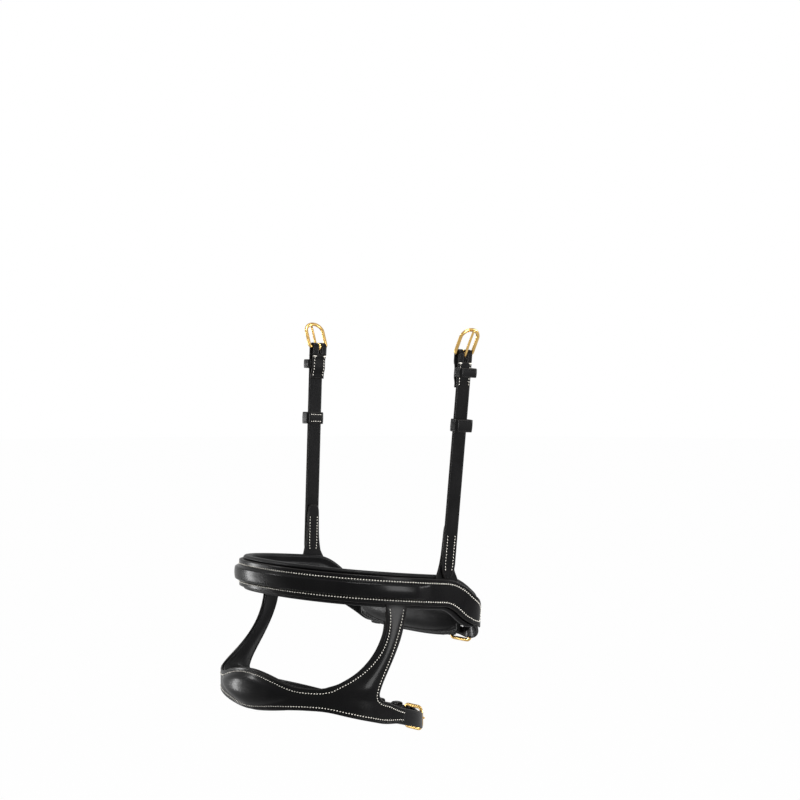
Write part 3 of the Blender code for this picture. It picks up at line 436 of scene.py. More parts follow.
def thread_finish():
    """Waxed linen thread: cream, a little soiled, with fibres across the stitch."""
    finish = Finish("cream thread", Specular_IOR_Level=0.3, Sheen_Weight=0.2)
    soil = finish.noise(210, 3.0)
    fibre = finish.noise(5200, 2.0, 0.5)
    color = finish.mix((soil * 1.5 - 0.45).clipped(), (0.80, 0.77, 0.69, 1), (0.50, 0.47, 0.41, 1))
    return finish.surface(color, 0.55 + fibre * 0.3, fibre, 0.00018)


CREAM_THREAD = thread_finish()


def stitch_row(points, normals, pitch=PITCH, thread=THREAD, slant=0.16, share=0.62):
    """Corner points of stitches set along a line: each a bead, whose radius is that of an ellipse.

    The stitch is bowed, so that its thin ends lie below the leather's face.
    """
    taper, bow, proud = 0.9, 0.35, 0.12
    lengths = lengths_along(points)
    count = max(1, round(lengths[-1] / pitch))
    step = lengths[-1] / count
    at = (np.arange(count) + 0.5) * step
    middle = along_line(points, lengths, at)
    normal = unit(along_line(normals, lengths, at))
    ahead = unit(along_line(points, lengths, at + step / 4) - along_line(points, lengths, at - step / 4))
    side = unit(np.cross(normal, ahead))
    ahead = unit(np.cross(side, normal) + side * slant)
    side = np.cross(normal, ahead)
    t = np.linspace(-1, 1, BEAD_RINGS)[:, None]
    bead = np.sqrt(1 - taper * t**2)
    turn = np.linspace(0, 2 * math.pi, BEAD_SIDES, endpoint=False)
    x = t * step * share / 2
    y = bead * np.cos(turn) * thread / 2
    z = bead * np.sin(turn) * thread / 2 - t**2 * thread * bow + thread * proud
    parts = [v[None, :, :, None] * w[:, None, None, :] for v, w in ((x, ahead), (y, side), (z, normal))]
    return middle[:, None, None, :] + sum(parts)


def stitching(name, rows, body="noseband"):
    """One piece from several rows of stitches: each bead is six sides round, closed at both ends."""
    beads = np.concatenate(rows)
    size = BEAD_RINGS * BEAD_SIDES
    sides = quads(np.arange(size).reshape(BEAD_RINGS, BEAD_SIDES), around=True)
    halves = np.array([[0, 1, 2, 3], [0, 3, 4, 5]])
    one = np.concatenate([sides, halves, size - BEAD_SIDES + halves[:, ::-1]])
    faces = (np.arange(len(beads))[:, None, None] * size + one).reshape(-1, 4)
    return dress(mesh_object(name, beads.reshape(-1, 3), faces), CREAM_THREAD, None, body)


def band_line(side, end):
    """Points and normals of the seam beside the upper (1) or the lower (-1) edge of the nose band's face."""
    arcs = np.linspace(-end, end, 700)
    heights = side * (band_half(arcs) - SEAM_INSET)
    level = OUTER_LEVEL + OUTER_LEATHER / 2 + crown_rise(arcs, heights)
    return UPPER.point(arcs, heights, level), UPPER.frame(arcs)[2]


def end_line(end):
    """Points and normals of the short row across the band near its end."""
    heights = np.linspace(-1, 1, 20) * (band_half(end) - SEAM_INSET)
    arcs = np.full_like(heights, end)
    return UPPER.point(arcs, heights, OUTER_LEVEL + OUTER_LEATHER / 2), UPPER.frame(arcs)[2]


seam_end = BAND_END - SEAM_INSET
lines = [band_line(-1, seam_end), band_line(1, seam_end), end_line(-seam_end), end_line(seam_end)]
stitching("nose_band_stitching", [stitch_row(*line, thread=BAND_THREAD) for line in lines])


# Backing of the nose band: a thinner strip of the same leather behind the moulded one.
# It is cut out where the cheek tabs and the side straps are sewn in beside it.
BACKING_LEATHER = 0.0017
END_LAP = 0.014
TAB_HALF = 0.012
TAB_TUCK = 0.007
SIDE_HALF = 0.01075
SIDE_TUCK = 0.008


def notch(arc, middle, half, depth):
    """Depth cut into an edge over half to each side of middle, with sides as steep as a gap."""
    return depth * np.clip((half + GAP - np.abs(np.abs(arc) - middle)) / GAP, 0, 1)


backing_end = BAND_END - END_LAP
sewn_in = ((CHEEK_ARC, TAB_HALF + 2 * GAP), (SIDE_TOP, SIDE_HALF + 2 * GAP))
cuts = [sign * (at + side * half) for sign in (-1, 1) for side in (-1, 1) for at, half in sewn_in]
arc, share = strip(backing_end, 0.003, 0.12, cuts, GAP)
edge = band_half(arc) - GAP
top = edge - notch(arc, CHEEK_ARC, TAB_HALF + GAP, TAB_TUCK + GAP)
bottom = -edge + notch(arc, SIDE_TOP, SIDE_HALF + GAP, SIDE_TUCK + GAP)
height = bottom + (top - bottom) * (share + 1) / 2
cut_distance = np.minimum(np.minimum(top - height, height - bottom), backing_end - np.abs(arc))
backing = leather_piece(
    "nose_band_backing_leather", UPPER.point, arc, height, cut_distance, BACKING_LEATHER, INNER_LEVEL
)
PLAIN_FINISH = leather_finish("plain black leather", 0.0, 0.36)
dress(backing, PLAIN_FINISH, "black_leather", "noseband", "nose_band_backing")


# Filler of the nose band: a strip of wool felt that keeps the front of the leather raised.
# It is cut to the width between the two seams and shaved thin towards the cheeks.
def felt_finish():
    """Pressed wool felt: pale grey, matt, with tangled fibres."""
    finish = Finish("wool felt", Sheen_Weight=0.4)
    tangle = finish.noise(900, 6.0, 2.0)
    color = finish.mix(tangle, (0.42, 0.40, 0.36, 1), (0.24, 0.23, 0.21, 1))
    return finish.surface(color, 0.85 + tangle * 0.1, tangle, 0.0004)


WOOL_FELT = felt_finish()
filler_half = CROWN_HALF - 0.0022
filler_end = CROWN_END - 0.011
arc, height = strip(filler_end, 0.003, 0.0012, half=filler_half, across=0.001)
cut_distance = off_cuts(filler_half, height, filler_end, arc)
rise = np.maximum(crown_rise(arc, height) - 3 * GAP, GAP)
filler = leather_piece(
    "nose_band_felt", UPPER.point, arc, height, cut_distance, 2 * GAP, INNER_LEATHER + 2 * GAP, rise, 0.0
)
dress(filler, WOOL_FELT, "filler_felt", "noseband", "nose_band_filler")


# Lining of the nose band: soft black leather turned over foam, on the horse's side.
# It is taller than the leather in front, so that a padded roll stands along both edges.
LINING_HALF = 0.016
LINING_THICKNESS = 0.0058
LINING_ROUND = 0.0030
ROLL_RISE = 0.0008
ROLL_INSET = 0.0022
SEAM_PULL = 0.0007
MIDDLE_RISE = 0.0006


def soft_finish():
    """Soft dressed leather: finer, fuller wrinkles and a duller face than the strap leather."""
    finish = Finish("soft lining leather", Specular_IOR_Level=0.05, Coat_Weight=0.05, Coat_Roughness=0.24)
    cloud = finish.noise(60, 4.0, 0.6)
    wrinkle = finish.noise(260, 6.0, 1.6)
    fine = finish.cells(1900)
    dark, worn = (0.0022, 0.0022, 0.0025, 1), (0.0060, 0.0058, 0.0060, 1)
    color = finish.mix((cloud * 1.5 - 0.3).clipped(), dark, worn)
    return finish.surface(color, 0.38 + cloud * 0.12 + wrinkle * 0.06, wrinkle * 0.9 + fine * 0.25, 0.00022)


SOFT_LEATHER = soft_finish()


def puckers(run, across, size):
    """Slight unevenness of a stuffed piece: four sine waves along and across it, of unlike lengths."""
    a = np.sin(run * 205 + 1.3 * np.sin(across * 160)) * 0.4
    b = np.sin(run * 391 + across * 220 + 0.7) * 0.25
    c = np.sin(run * 97 - across * 90 + 2.1) * 0.6
    d = np.sin(run * 633 + 2.2 * np.sin(across * 300 + run * 40)) * 0.12
    return size * (a + b + c + d)


lining_end = BAND_END - 0.003
arc, share = strip(lining_end, 0.0024, 0.05, radius=LINING_ROUND)
end_shape = 0.80 + 0.20 * arch((lining_end - np.abs(arc)) / 0.012)
half = LINING_HALF * band_half(arc) / (BAND_HEIGHT / 2) * end_shape
height = half * np.sin(share * math.pi / 2)
cut_distance = off_cuts(half, height, lining_end, arc)
roll = bell(half - np.abs(height) - ROLL_INSET, 0.0018)
seam_pull = bell(np.abs(height) - band_half(arc) + SEAM_INSET, 0.0016)
lift = 0.0010 * smooth((np.abs(height) - band_half(arc)) / 0.0012)
under = -ROLL_RISE * roll + SEAM_PULL * seam_pull - MIDDLE_RISE * smooth(1 - np.abs(height) / 0.008)
under = under + puckers(arc, height, 0.00010) * (1 - seam_pull)
lining = leather_piece(
    "nose_band_padded_lining", UPPER.point, arc, height, cut_distance, LINING_THICKNESS,
    -GAP - LINING_THICKNESS / 2, lift, under, LINING_ROUND,
)
dress(lining, SOFT_LEATHER, "lining_leather", "noseband", "nose_band_lining")


# Cheek tabs: the flared ends that carry the nose band. Each is sewn in between the band's two layers,
# stands above them and narrows, until the cheek strap that is stitched on its face covers it.
TAB_RISE = 0.052
BUCKLE_X = 0.107
BAR_RADIUS = 0.0016
SIDES = {1: "left", -1: "right"}


class StrapFrame:
    """Straight frame of a cheek strap, from its foot on the band up to the buckle's bar.

    A place is so far across to the rear, so far up from the bar, and so far out from the strap's middle.
    """

    def __init__(self, side):
        seam, along, outward, upward = UPPER.frame(np.array(side * CHEEK_ARC))
        foot = seam + upward * (BAND_HEIGHT / 2) + outward * OUTER_LEVEL
        bar = np.array([side * BUCKLE_X, 0, 0])
        lean = unit(bar - foot)
        normal = unit(outward - lean * float(outward @ lean))
        self.top = bar + normal * (BAR_RADIUS + GAP + OUTER_LEATHER / 2)
        self.lean = unit(self.top - foot)
        self.normal = unit(outward - self.lean * float(outward @ self.lean))
        self.across = np.cross(self.lean, self.normal) * side
        self.length = float(np.linalg.norm(self.top - foot))

    def point(self, across, up, out):
        """The place: the strap's top, moved by the three distances along the frame's directions."""
        across, up, out = scales(across, up, out)
        return self.top + self.across * across + self.lean * up + self.normal * out


def tab_place(side, strap):
    """Place on a tab: below the band's edge it follows the band, and above it the strap."""
    start, turn = -0.001, 0.009

    def place(run, height, level):
        """Mean of the place on the band and that on the strap, whose share rises smoothly over the turn."""
        on_band = UPPER.point(side * CHEEK_ARC + height * side, BAND_HEIGHT / 2 + run, INNER_LEVEL + level)
        out = INNER_LEVEL - OUTER_LEVEL + level
        on_strap = strap.point(height, run - strap.length, out)
        share = smooth((run - start) / turn)[..., None]
        return on_band * (1 - share) + on_strap * share

    return place


def add_cheek_tab(side):
    """A tab: its half width falls from 12 mm at the band to 7 mm, and its top is rounded."""
    runs = spread(-TAB_TUCK, TAB_RISE, 0.0012)
    at = np.array([-0.007, 0.0, 0.0035, 0.0114, 0.0182, 0.0260, 0.0390, 0.0478, 0.052])
    wide = np.array([0.012, 0.012, 0.0112, 0.0091, 0.0081, 0.0075, 0.0071, 0.0067, 0.0062])
    half = np.interp(runs, at, wide)
    half = np.convolve(np.pad(half, 4, mode="edge"), np.ones(9) / 9, mode="valid")
    half = half * (0.45 + 0.55 * arch((TAB_RISE - runs) / 0.006))
    run, share = grid_of(runs, spread(-1, 1, 0.09, (), 0.08))
    height = half[:, None] * share
    cut_distance = np.minimum(half[:, None] - np.abs(height), np.minimum(run + TAB_TUCK, TAB_RISE - run))
    node = "cheek_tab_" + SIDES[side]
    place = tab_place(side, StrapFrame(side))
    tab = leather_piece(node + "_leather", place, run, height, cut_distance, INNER_LEATHER, 0.0)
    dress(tab, PLAIN_FINISH, "black_leather", "noseband", node)


for side in SIDES:
    add_cheek_tab(side)


# Cheek straps: straps of the same leather, stitched on the tabs at the foot in a tapered splice.
# At the top each folds back round the buckle's bar and is sewn down on itself, with a slot for the tongue.
CHEEK_HALF = 0.008
CHAPE_LENGTH = 0.031
CHAPE_SEWN = 0.0085
SLOT_HALF = 0.0018
SLOT_REACH = 0.0075
KEEPER_LEATHER = 0.0014
KEEPER_SEAT = (0.38 * CHAPE_LENGTH, 0.70 * CHAPE_LENGTH)
STRAP_SEAM = 0.0022
SEAM_START = 0.002
SPLICE_SEAM = 0.0036
SPLICE_LENGTH = 0.013
SPLICE_NARROWING = 0.56


def round_bends(corners, radius, steps=9):
    """A path of straight runs through corners, each bend a parabola over about that radius."""
    corners = np.asarray(corners, float)
    path = [corners[:1]]
    for before, at, after in zip(corners[:-2], corners[1:-1], corners[2:]):
        reach = min(radius, np.linalg.norm(before - at) * 0.45, np.linalg.norm(after - at) * 0.45)
        start, end = at + unit(before - at) * reach, at + unit(after - at) * reach
        t = np.linspace(0, 1, steps)[:, None]
        path.append((1 - t) ** 2 * start + 2 * t * (1 - t) * at + t * t * end)
    path.append(corners[-1:])
    return np.concatenate(path)


class Fold:
    """A strap's middle line in a plane, (reach, out), followed by length."""

    def __init__(self, path):
        steps = np.linalg.norm(np.diff(path, axis=0), axis=1)
        self.path = path[np.concatenate([[True], steps > 1e-7])]
        self.lengths = lengths_along(self.path)
        self.end = float(self.lengths[-1])

    def line(self, run):
        """Point of the line at a length from its start."""
        return along_line(self.path, self.lengths, run)

    def at(self, run, level):
        """Reach and out of the line's point at a run, moved along the line's normal by the level."""
        step = 0.0004
        ahead = unit(self.line(np.minimum(run + step, self.end)) - self.line(np.maximum(run - step, 0)))
        spot = self.line(run)
        return spot[..., 0] - ahead[..., 1] * level, spot[..., 1] + ahead[..., 0] * level


def fold_path(leather):
    """Middle line of a strap's end: half a turn round the bar at 0, then back down behind it to the end."""
    turn_radius = BAR_RADIUS + GAP + leather / 2
    closing, bend_radius = 0.97, 0.0026
    turn = np.linspace(math.pi / 2, -math.pi / 2, 33)
    bend = turn_radius * (circle(turn) - [0, 1])
    seat = -(leather + KEEPER_LEATHER + 2 * GAP)
    close = -(leather + GAP)
    slot_foot = -2 * turn_radius * closing
    back = [
        (-SLOT_REACH, slot_foot),
        (-KEEPER_SEAT[0], seat),
        (-KEEPER_SEAT[1], seat),
        (-(KEEPER_SEAT[1] + CHAPE_LENGTH) / 2, close),
        (-CHAPE_LENGTH, close),
    ]
    return np.concatenate([[[-SLOT_REACH, 0.0]], bend, round_bends(back, bend_radius)])


def strap_grid(end, half, slot, width_share=None):
    """Run, height and distance from the nearest cut of a strap with a slot and a share of width."""
    run, cross = grid_of(spread(0.0, end, 0.0014, slot), spread(-half, half, 0.0009, (-SLOT_HALF, SLOT_HALF)))
    share = width_share(run) if width_share else 1.0
    distance = np.minimum(half * share - np.abs(cross * share), np.minimum(run, end - run))
    height = np.where(np.abs(cross) <= SLOT_HALF + 0.001, cross, cross * share)
    beside = np.maximum(np.abs(cross) - SLOT_HALF, np.maximum(slot[0] - run, run - slot[1]))
    return run, height, np.minimum(distance, beside)


def chape_slot(start, leather):
    """Start and end of the slot that lets a tongue through a strap folded round its bar."""
    return start, start + 2 * SLOT_REACH + math.pi * (BAR_RADIUS + GAP + leather / 2)


def seam_on(place, runs, heights, level):
    """Points and normals of a line on the face at a level above (or, below 0, under) a strap's middle."""
    runs, heights, levels = np.broadcast_arrays(np.asarray(runs, float), heights, level)
    points = place(runs, heights, levels)
    return points, unit(place(runs, heights, levels * 1.5) - points)


def chape_seams(place, slot_start, end, half, level):
    """Stitches beside both edges of a chape, on the strap's face and on its turned-back end."""
    bar = slot_start + SLOT_REACH
    front = np.linspace(bar - CHAPE_LENGTH + SEAM_START, bar - CHAPE_SEWN, 80)
    back = np.linspace(end - CHAPE_LENGTH + CHAPE_SEWN, end - SEAM_START, 80)
    edges = (STRAP_SEAM - half, half - STRAP_SEAM)
    return [stitch_row(*seam_on(place, runs, edge, level)) for edge in edges for runs in (front, back)]


def add_cheek_strap(side):
    """A cheek strap, its widths, its slot, and the stitching of the chape and of the splice."""
    strap = StrapFrame(side)
    foot = 3 * GAP - strap.length
    fold = Fold(np.concatenate([[[foot, 0.0]], fold_path(OUTER_LEATHER)]))
    slot = chape_slot(-SLOT_REACH - foot, OUTER_LEATHER)

    def share_of_width(run):
        """The splice's point: from narrow at its foot, it grows by a parabola to the full width."""
        return 1 - SPLICE_NARROWING * (1 - np.clip(run / SPLICE_LENGTH, 0, 1)) ** 2

    def place(run, height, level):
        """The fold's point at the run and the level, at the height across the strap."""
        up, out = fold.at(run, level)
        return strap.point(height, up, out)

    run, height, distance = strap_grid(fold.end, CHEEK_HALF, slot, share_of_width)
    name = "cheek_strap_" + SIDES[side]
    piece = leather_piece(name + "_leather", place, run, height, distance, OUTER_LEATHER, 0.0)
    dress(piece, STRAP_FINISH, "black_leather", "noseband", name)

    face = OUTER_LEATHER / 2
    back_of_tab = INNER_LEVEL - OUTER_LEVEL - INNER_LEATHER / 2
    rows = chape_seams(place, slot[0], fold.end, CHEEK_HALF, face)
    splice = np.linspace(0.007, 0.040, 60)
    tacks = (slot[0] + SLOT_REACH - CHAPE_SEWN, fold.end - CHAPE_LENGTH + CHAPE_SEWN)
    for across in (-1, 1):
        seam = across * (CHEEK_HALF * share_of_width(splice) - SPLICE_SEAM)
        rows += [stitch_row(*seam_on(place, splice, seam, level)) for level in (face, back_of_tab)]
        tack = across * np.linspace(CHEEK_HALF - 0.0044, CHEEK_HALF + 0.0002, 12)
        whole = {"pitch": 0.0046, "thread": 0.0011, "slant": 0.0, "share": 0.98}
        rows += [stitch_row(*seam_on(place, run, tack, face), **whole) for run in tacks]
    stitching(name + "_stitching", rows)
    return strap


STRAP_FINISH = leather_finish("strap leather", 0.0015, 0.28, coat=0.08, groove=0.0004)
STRAPS = {side: add_cheek_strap(side) for side in SIDES}


# Keepers: loops of thin leather that hold down the end of a strap that is buckled on. One at each buckle is
# sewn fast under the chape, and one slides. Their edges are creased with a hot iron.
KEEPER_WIDTH = 0.0115
FIXED_KEEPER_WIDTH = 0.0085
KEEPER_SLACK = 0.0005
BILLET_ROOM = 0.0050
RUNNER_BELOW = 0.065
RIGHT_RUNNER_LOWER = 0.0046
CREASED_LEATHER = leather_finish("creased keeper leather", 0.0017, 0.30, grain=0.8, coat=0.1, groove=0.00042)


def keeper_path(half_width, inner, outer, radius):
    """Closed middle line (across, out) of a keeper, a rectangle with round corners, and its normals."""
    turn = np.linspace(0, math.pi / 2, 9) + np.arange(4)[:, None] * math.pi / 2
    away = circle(turn)
    reach = np.array([half_width - radius, (outer - inner) / 2 - radius])
    centres = reach * [[1, 1], [-1, 1], [-1, -1], [1, -1]] + [0, (outer + inner) / 2]
    corners = centres[:, None] + radius * away
    t = np.linspace(0, 1, 12)[1:-1, None]
    start, end = corners[:, -1:], np.roll(corners, -1, axis=0)[:, :1]
    points = np.concatenate([corners, start + (end - start) * t], axis=1)
    normals = np.concatenate([away, np.repeat(away[:, -1:], len(t), axis=1)], axis=1)
    return points.reshape(-1, 2), normals.reshape(-1, 2)


def keeper_section(width, thickness):
    """Closed section (along, level) of a keeper's leather, with round edges, and its distance from them."""
    radius = thickness / 2
    flat = width / 2 - radius
    turn = np.linspace(-math.pi / 2, math.pi / 2, 9)
    edge = [flat, 0] + radius * circle(turn)
    face = np.stack([np.linspace(flat, -flat, 14)[1:-1], np.full(12, radius)], axis=1)
    section = np.concatenate([edge, face, -edge, -face])
    return section, width / 2 - np.abs(section[:, 0])


def add_keeper(node, place, middle, half_width, inner, outer, width, body, sewn=False):
    """A keeper: its section carried round the loop. A sewn one shows stitches on its inner side."""
    loop, away = keeper_path(half_width, inner, outer, KEEPER_LEATHER * 1.15)
    section, cut_distance = keeper_section(width, KEEPER_LEATHER)
    bulge = 0.00025 * np.cos(np.clip(section[:, 0] / width, -0.5, 0.5) * math.pi)
    level = section[None, :, 1] + bulge
    across = loop[:, None, 0] + away[:, None, 0] * level
    out = loop[:, None, 1] + away[:, None, 1] * level
    up = middle + np.repeat(section[None, :, 0], len(loop), axis=0)
    faces = quads(np.arange(across.size).reshape(across.shape), True, True)
    edge = np.tile(cut_distance, len(loop))
    piece = mesh_object(node + "_leather", place(across, up, out).reshape(-1, 3), faces, edge)
    dress(piece, CREASED_LEATHER, "black_leather", body, node)
    if sewn:
        spots = np.linspace(-0.72, 0.72, 16) * half_width
        face = inner - KEEPER_LEATHER / 2 - 0.0002
        ups = [middle + offset * (width / 2 - 0.0024) for offset in (-1, 1)]
        rows = [stitch_row(*seam_on(place, spots, up, face), pitch=0.0024, thread=0.0007) for up in ups]
        stitching(node + "_leather_stitching", rows, body)


def add_cheek_keepers(side):
    """The fixed keeper in the chape's seat and the runner below it."""
    place, label = STRAPS[side].point, SIDES[side]
    inner = -(OUTER_LEATHER + KEEPER_LEATHER) / 2 - GAP
    outer = OUTER_LEATHER / 2 + BILLET_ROOM + KEEPER_LEATHER / 2
    loop = CHEEK_HALF + KEEPER_SLACK + KEEPER_LEATHER / 2, inner, outer
    seat = -sum(KEEPER_SEAT) / 2
    add_keeper("cheek_fixed_keeper_" + label, place, seat, *loop, FIXED_KEEPER_WIDTH, "noseband")
    runner = -RUNNER_BELOW - RIGHT_RUNNER_LOWER * (side < 0)
    body = "cheek_keeper_" + label
    add_keeper("cheek_runner_keeper_" + label, place, runner, *loop, KEEPER_WIDTH, body, True)


for side in SIDES:
    add_cheek_keepers(side)


# Cheek buckles: frames of drawn brass wire with a round top, soldered into a ring, and tongues hooked on
# the bar. They are polished, a little tarnished, and finely scratched by the strap that runs over them.
def brass_finish():
    """Polished brass: gold yellow, browner where it has tarnished, with fine scratches."""
    finish = Finish("polished brass", Metallic=1.0, Specular_IOR_Level=0.5)
    tarnish = finish.noise(150, 5.0, 0.6)
    scratch = finish.noise(1700, 3.0, 3.0)
    color = finish.mix((tarnish * 1.8 - 0.5).clipped(), (0.66, 0.44, 0.15, 1), (0.36, 0.21, 0.06, 1))
    return finish.surface(color, 0.13 + tarnish * 0.12 + scratch * 0.05, scratch + tarnish * 0.5, 0.000012)


BRASS = brass_finish()


def tube(name, centres, sides, ups, widths, depths, closed=False, count=20):
    """A bar through centres: at each, an ellipse with half axes widths along sides and depths along ups.

    An open bar ends in a rounded cap, whose last ring is shrunk to a point.
    """
    turn = np.linspace(0, 2 * math.pi, count, endpoint=False)
    round_part = sides[:, None] * (np.cos(turn)[None, :, None] * widths[:, None, None])
    high_part = ups[:, None] * (np.sin(turn)[None, :, None] * depths[:, None, None])
    verts = (centres[:, None] + round_part + high_part).reshape(-1, 3)
    index = np.arange(len(verts)).reshape(len(centres), count)
    faces = quads(index, True, closed)
    if not closed:
        verts = np.concatenate([verts, centres[:1], centres[-1:]])
        for ring, pole in ((index[0], len(verts) - 2), (index[-1][::-1], len(verts) - 1)):
            pairs = ring.reshape(-1, 2)
            after = np.roll(ring, -2).reshape(-1, 2)[:, 0]
            cap = np.stack([pairs[:, 0], pairs[:, 1], after, np.full(len(pairs), pole)], axis=1)
            faces = np.concatenate([faces, cap])
    return mesh_object(name, verts, faces)


def frame_path(half_width, length, round_end):
    """Closed line (across, up) of a buckle's frame: the bar on 0, straight sides, a round or a square top."""
    radius = 0.0025
    turn = np.linspace(0, math.pi / 2, 7)
    heel = [radius - half_width, radius] - radius * circle(turn)
    bar = np.stack([np.linspace(-half_width + radius, half_width - radius, 12)[1:-1], np.zeros(10)], axis=1)
    other = heel[::-1] * [-1, 1]
    if round_end:
        rise = half_width * 0.8
        turn = np.linspace(0, math.pi, 49)
        top = [0, length - rise] + circle(turn) * [half_width, rise]
    else:
        corner = 0.0050
        right = [half_width - corner, length - corner] + corner * circle(turn)
        top = np.concatenate([right, right[::-1] * [-1, 1]])
    start, end = other[-1], top[0]
    side = start + (end - start) * np.linspace(0, 1, 16)[1:-1, None]
    return np.concatenate([heel, bar, other, side, top, side[::-1] * [-1, 1]])


def add_buckle_frame(node, place, half_width, length, round_end, body):
    """A frame: the wire is round on the bar and flattened by a fifth on the sides and the top."""
    path = frame_path(half_width, length, round_end)
    centres = place(path[:, 0], path[:, 1], path[:, 0] * 0)
    beyond = place(path[:, 0], path[:, 1], path[:, 0] * 0 + 0.001)
    ups = unit(beyond - centres)
    ahead = unit(np.roll(centres, -1, axis=0) - np.roll(centres, 1, axis=0))
    sides = unit(np.cross(ahead, ups))
    flat = smooth((path[:, 1] - 0.001) / 0.005)
    widths = BAR_RADIUS * (1 + 0.10 * flat)
    depths = BAR_RADIUS * (1 - 0.14 * flat)
    piece = tube(node + "_brass", centres, sides, ups, widths, depths, closed=True)
    return dress(piece, BRASS, "brass", body, node)


def add_tongue(node, place, length, body):
    """A tongue: an open hook round the bar, and a prong that tapers to a rounded tip on the frame's top."""
    radius = 0.0011
    loop_radius = BAR_RADIUS + GAP + radius
    turn = np.radians(np.linspace(350, 90, 33))
    hook = loop_radius * circle(turn)
    tip = length + BAR_RADIUS / 2
    shares = np.concatenate([np.linspace(0.02, 0.94, 30), 0.94 + 0.06 * np.sin(np.linspace(0.1, 1.57, 8))])
    dip = 0.0004 * np.sin(shares * math.pi)
    prong = np.stack([tip * shares, loop_radius - dip], axis=1)
    path = np.concatenate([hook, prong])
    taper = np.interp(path[:, 0], [0, tip * 0.3, tip * 0.85, tip], [1, 1.05, 0.85, 0.75])
    cap = 0.35 + 0.65 * arch(np.arange(len(path)) / 4)
    cap[len(hook):] *= 0.1 + 0.9 * arch((tip - prong[:, 0]) / 0.0009)
    centres = place(0.0, path[:, 0], path[:, 1])
    sides = np.repeat(unit(place(1.0, 0.0, 0.0) - place(0.0, 0.0, 0.0))[None], len(path), axis=0)
    ups = unit(np.cross(sides, unit(np.gradient(centres, axis=0))))
    piece = tube(node + "_brass", centres, sides, ups, radius * taper * cap * 1.15, radius * cap * 0.95)
    return dress(piece, BRASS, "brass", body, node)


def add_cheek_buckle(side):
    """The buckle leans outwards from its strap, as it does when the noseband hangs."""
    strap, label = STRAPS[side], SIDES[side]
    bar_out = -(BAR_RADIUS + GAP + OUTER_LEATHER / 2)
    lean = math.radians(22)
    length = 0.024

    def place(across, up, out):
        """The strap's place, turned about the bar by the lean."""
        up, out = np.asarray(up, float), np.asarray(out, float)
        turned_up = up * math.cos(lean) - out * math.sin(lean)
        turned_out = up * math.sin(lean) + out * math.cos(lean)
        return strap.point(across, turned_up, turned_out + bar_out)

    half_width = CHEEK_HALF + 2 * GAP + BAR_RADIUS
    add_buckle_frame("cheek_buckle_frame_" + label, place, half_width, length, True, "cheek_frame_" + label)
    add_tongue("cheek_buckle_tongue_" + label, place, length, "cheek_tongue_" + label)


for side in SIDES:
    add_cheek_buckle(side)


# Lower yoke: one piece of leather cut with its two side straps, moulded over a pad on the nose.
# The side straps go up under the nose band and are sewn in between its layers.
# A row of stitching runs beside every edge, further in along the front window than elsewhere.
YOKE_LEATHER = 0.0019
YOKE_END = 0.163
SIDE_FRONT = 0.0751
SIDE_BACK = 0.1344
YOKE_SEAM = 0.0036
YOKE_FRONT_SEAM = 0.0041


def lower_plan():
    """Half the lower band from above: a quarter ellipse over the nose and a longer one to the rear corner."""
    half_width, nose_reach, jaw_reach, rear_half = 0.095, 0.0664, 0.0816, 0.055
    turn = np.linspace(0, math.pi / 2, PLAN_STEPS)
    nose = circle(turn)[:, ::-1] * [half_width, -nose_reach]
    rear = [rear_half, 0] + circle(turn)[1:] * [half_width - rear_half, jaw_reach]
    return np.concatenate([nose, rear, [[0.0, jaw_reach]]]) - [0, 0.095]


def ramp(value, start, end, ease):
    """Distance run down an even slope from start to end, both its corners rounded over ease."""
    return eased(value, start, ease) - eased(value, end, ease)


def lower_fall(arc, y):
    """Drop below the cheek buckles: a slight sag beside the nose, then an even slope towards the chin."""
    drop_at_nose, sag, descent = 0.302, 0.0033, 0.0350
    sag_start, sag_end, sag_ease = 0.014, 0.052, 0.014
    start, end, ease = 0.084, 0.211, 0.012
    sagged = sag / (sag_end - sag_start) * ramp(arc, sag_start, sag_end, sag_ease)
    return drop_at_nose + sagged + descent / (end - start) * ramp(arc, start, end, ease)


LOWER = Ring(lower_plan(), lower_fall)


def yoke_half(arc):
    """Half height of the lower band: tall over the nose, and narrower in two smooth steps to its end."""
    away = np.abs(arc)
    over_nose, beside, at_end, nose_reach = 0.0365, 0.0200, 0.0135, 0.066
    nose = over_nose + (beside - over_nose) * smooth(away / nose_reach)
    return (nose + (at_end - beside) * smooth((away - SIDE_BACK) / (YOKE_END - SIDE_BACK))) / 2


def nose_crown(arc, height):
    """Rise of the pad moulded into the lower band: a dome on a superellipse, its ends a little higher."""
    reach, rise, end_shift, margin = 0.052, 0.0066, 0.0030, 0.0036
    away = np.abs(arc) / reach
    across = np.abs(height - end_shift * away**2) / (yoke_half(arc) - margin)
    inside = np.clip(1 - away**2.2 - across**2.2, 0, 1)
    return rise * inside**0.75 * smooth(inside / 0.12)


def bezier(a, b, c, d, steps):
    """Cubic curve of four control points."""
    t = np.linspace(0, 1, steps)[:, None]
    return (1 - t) ** 3 * a + 3 * t * (1 - t) ** 2 * b + 3 * t * t * (1 - t) * c + t**3 * d


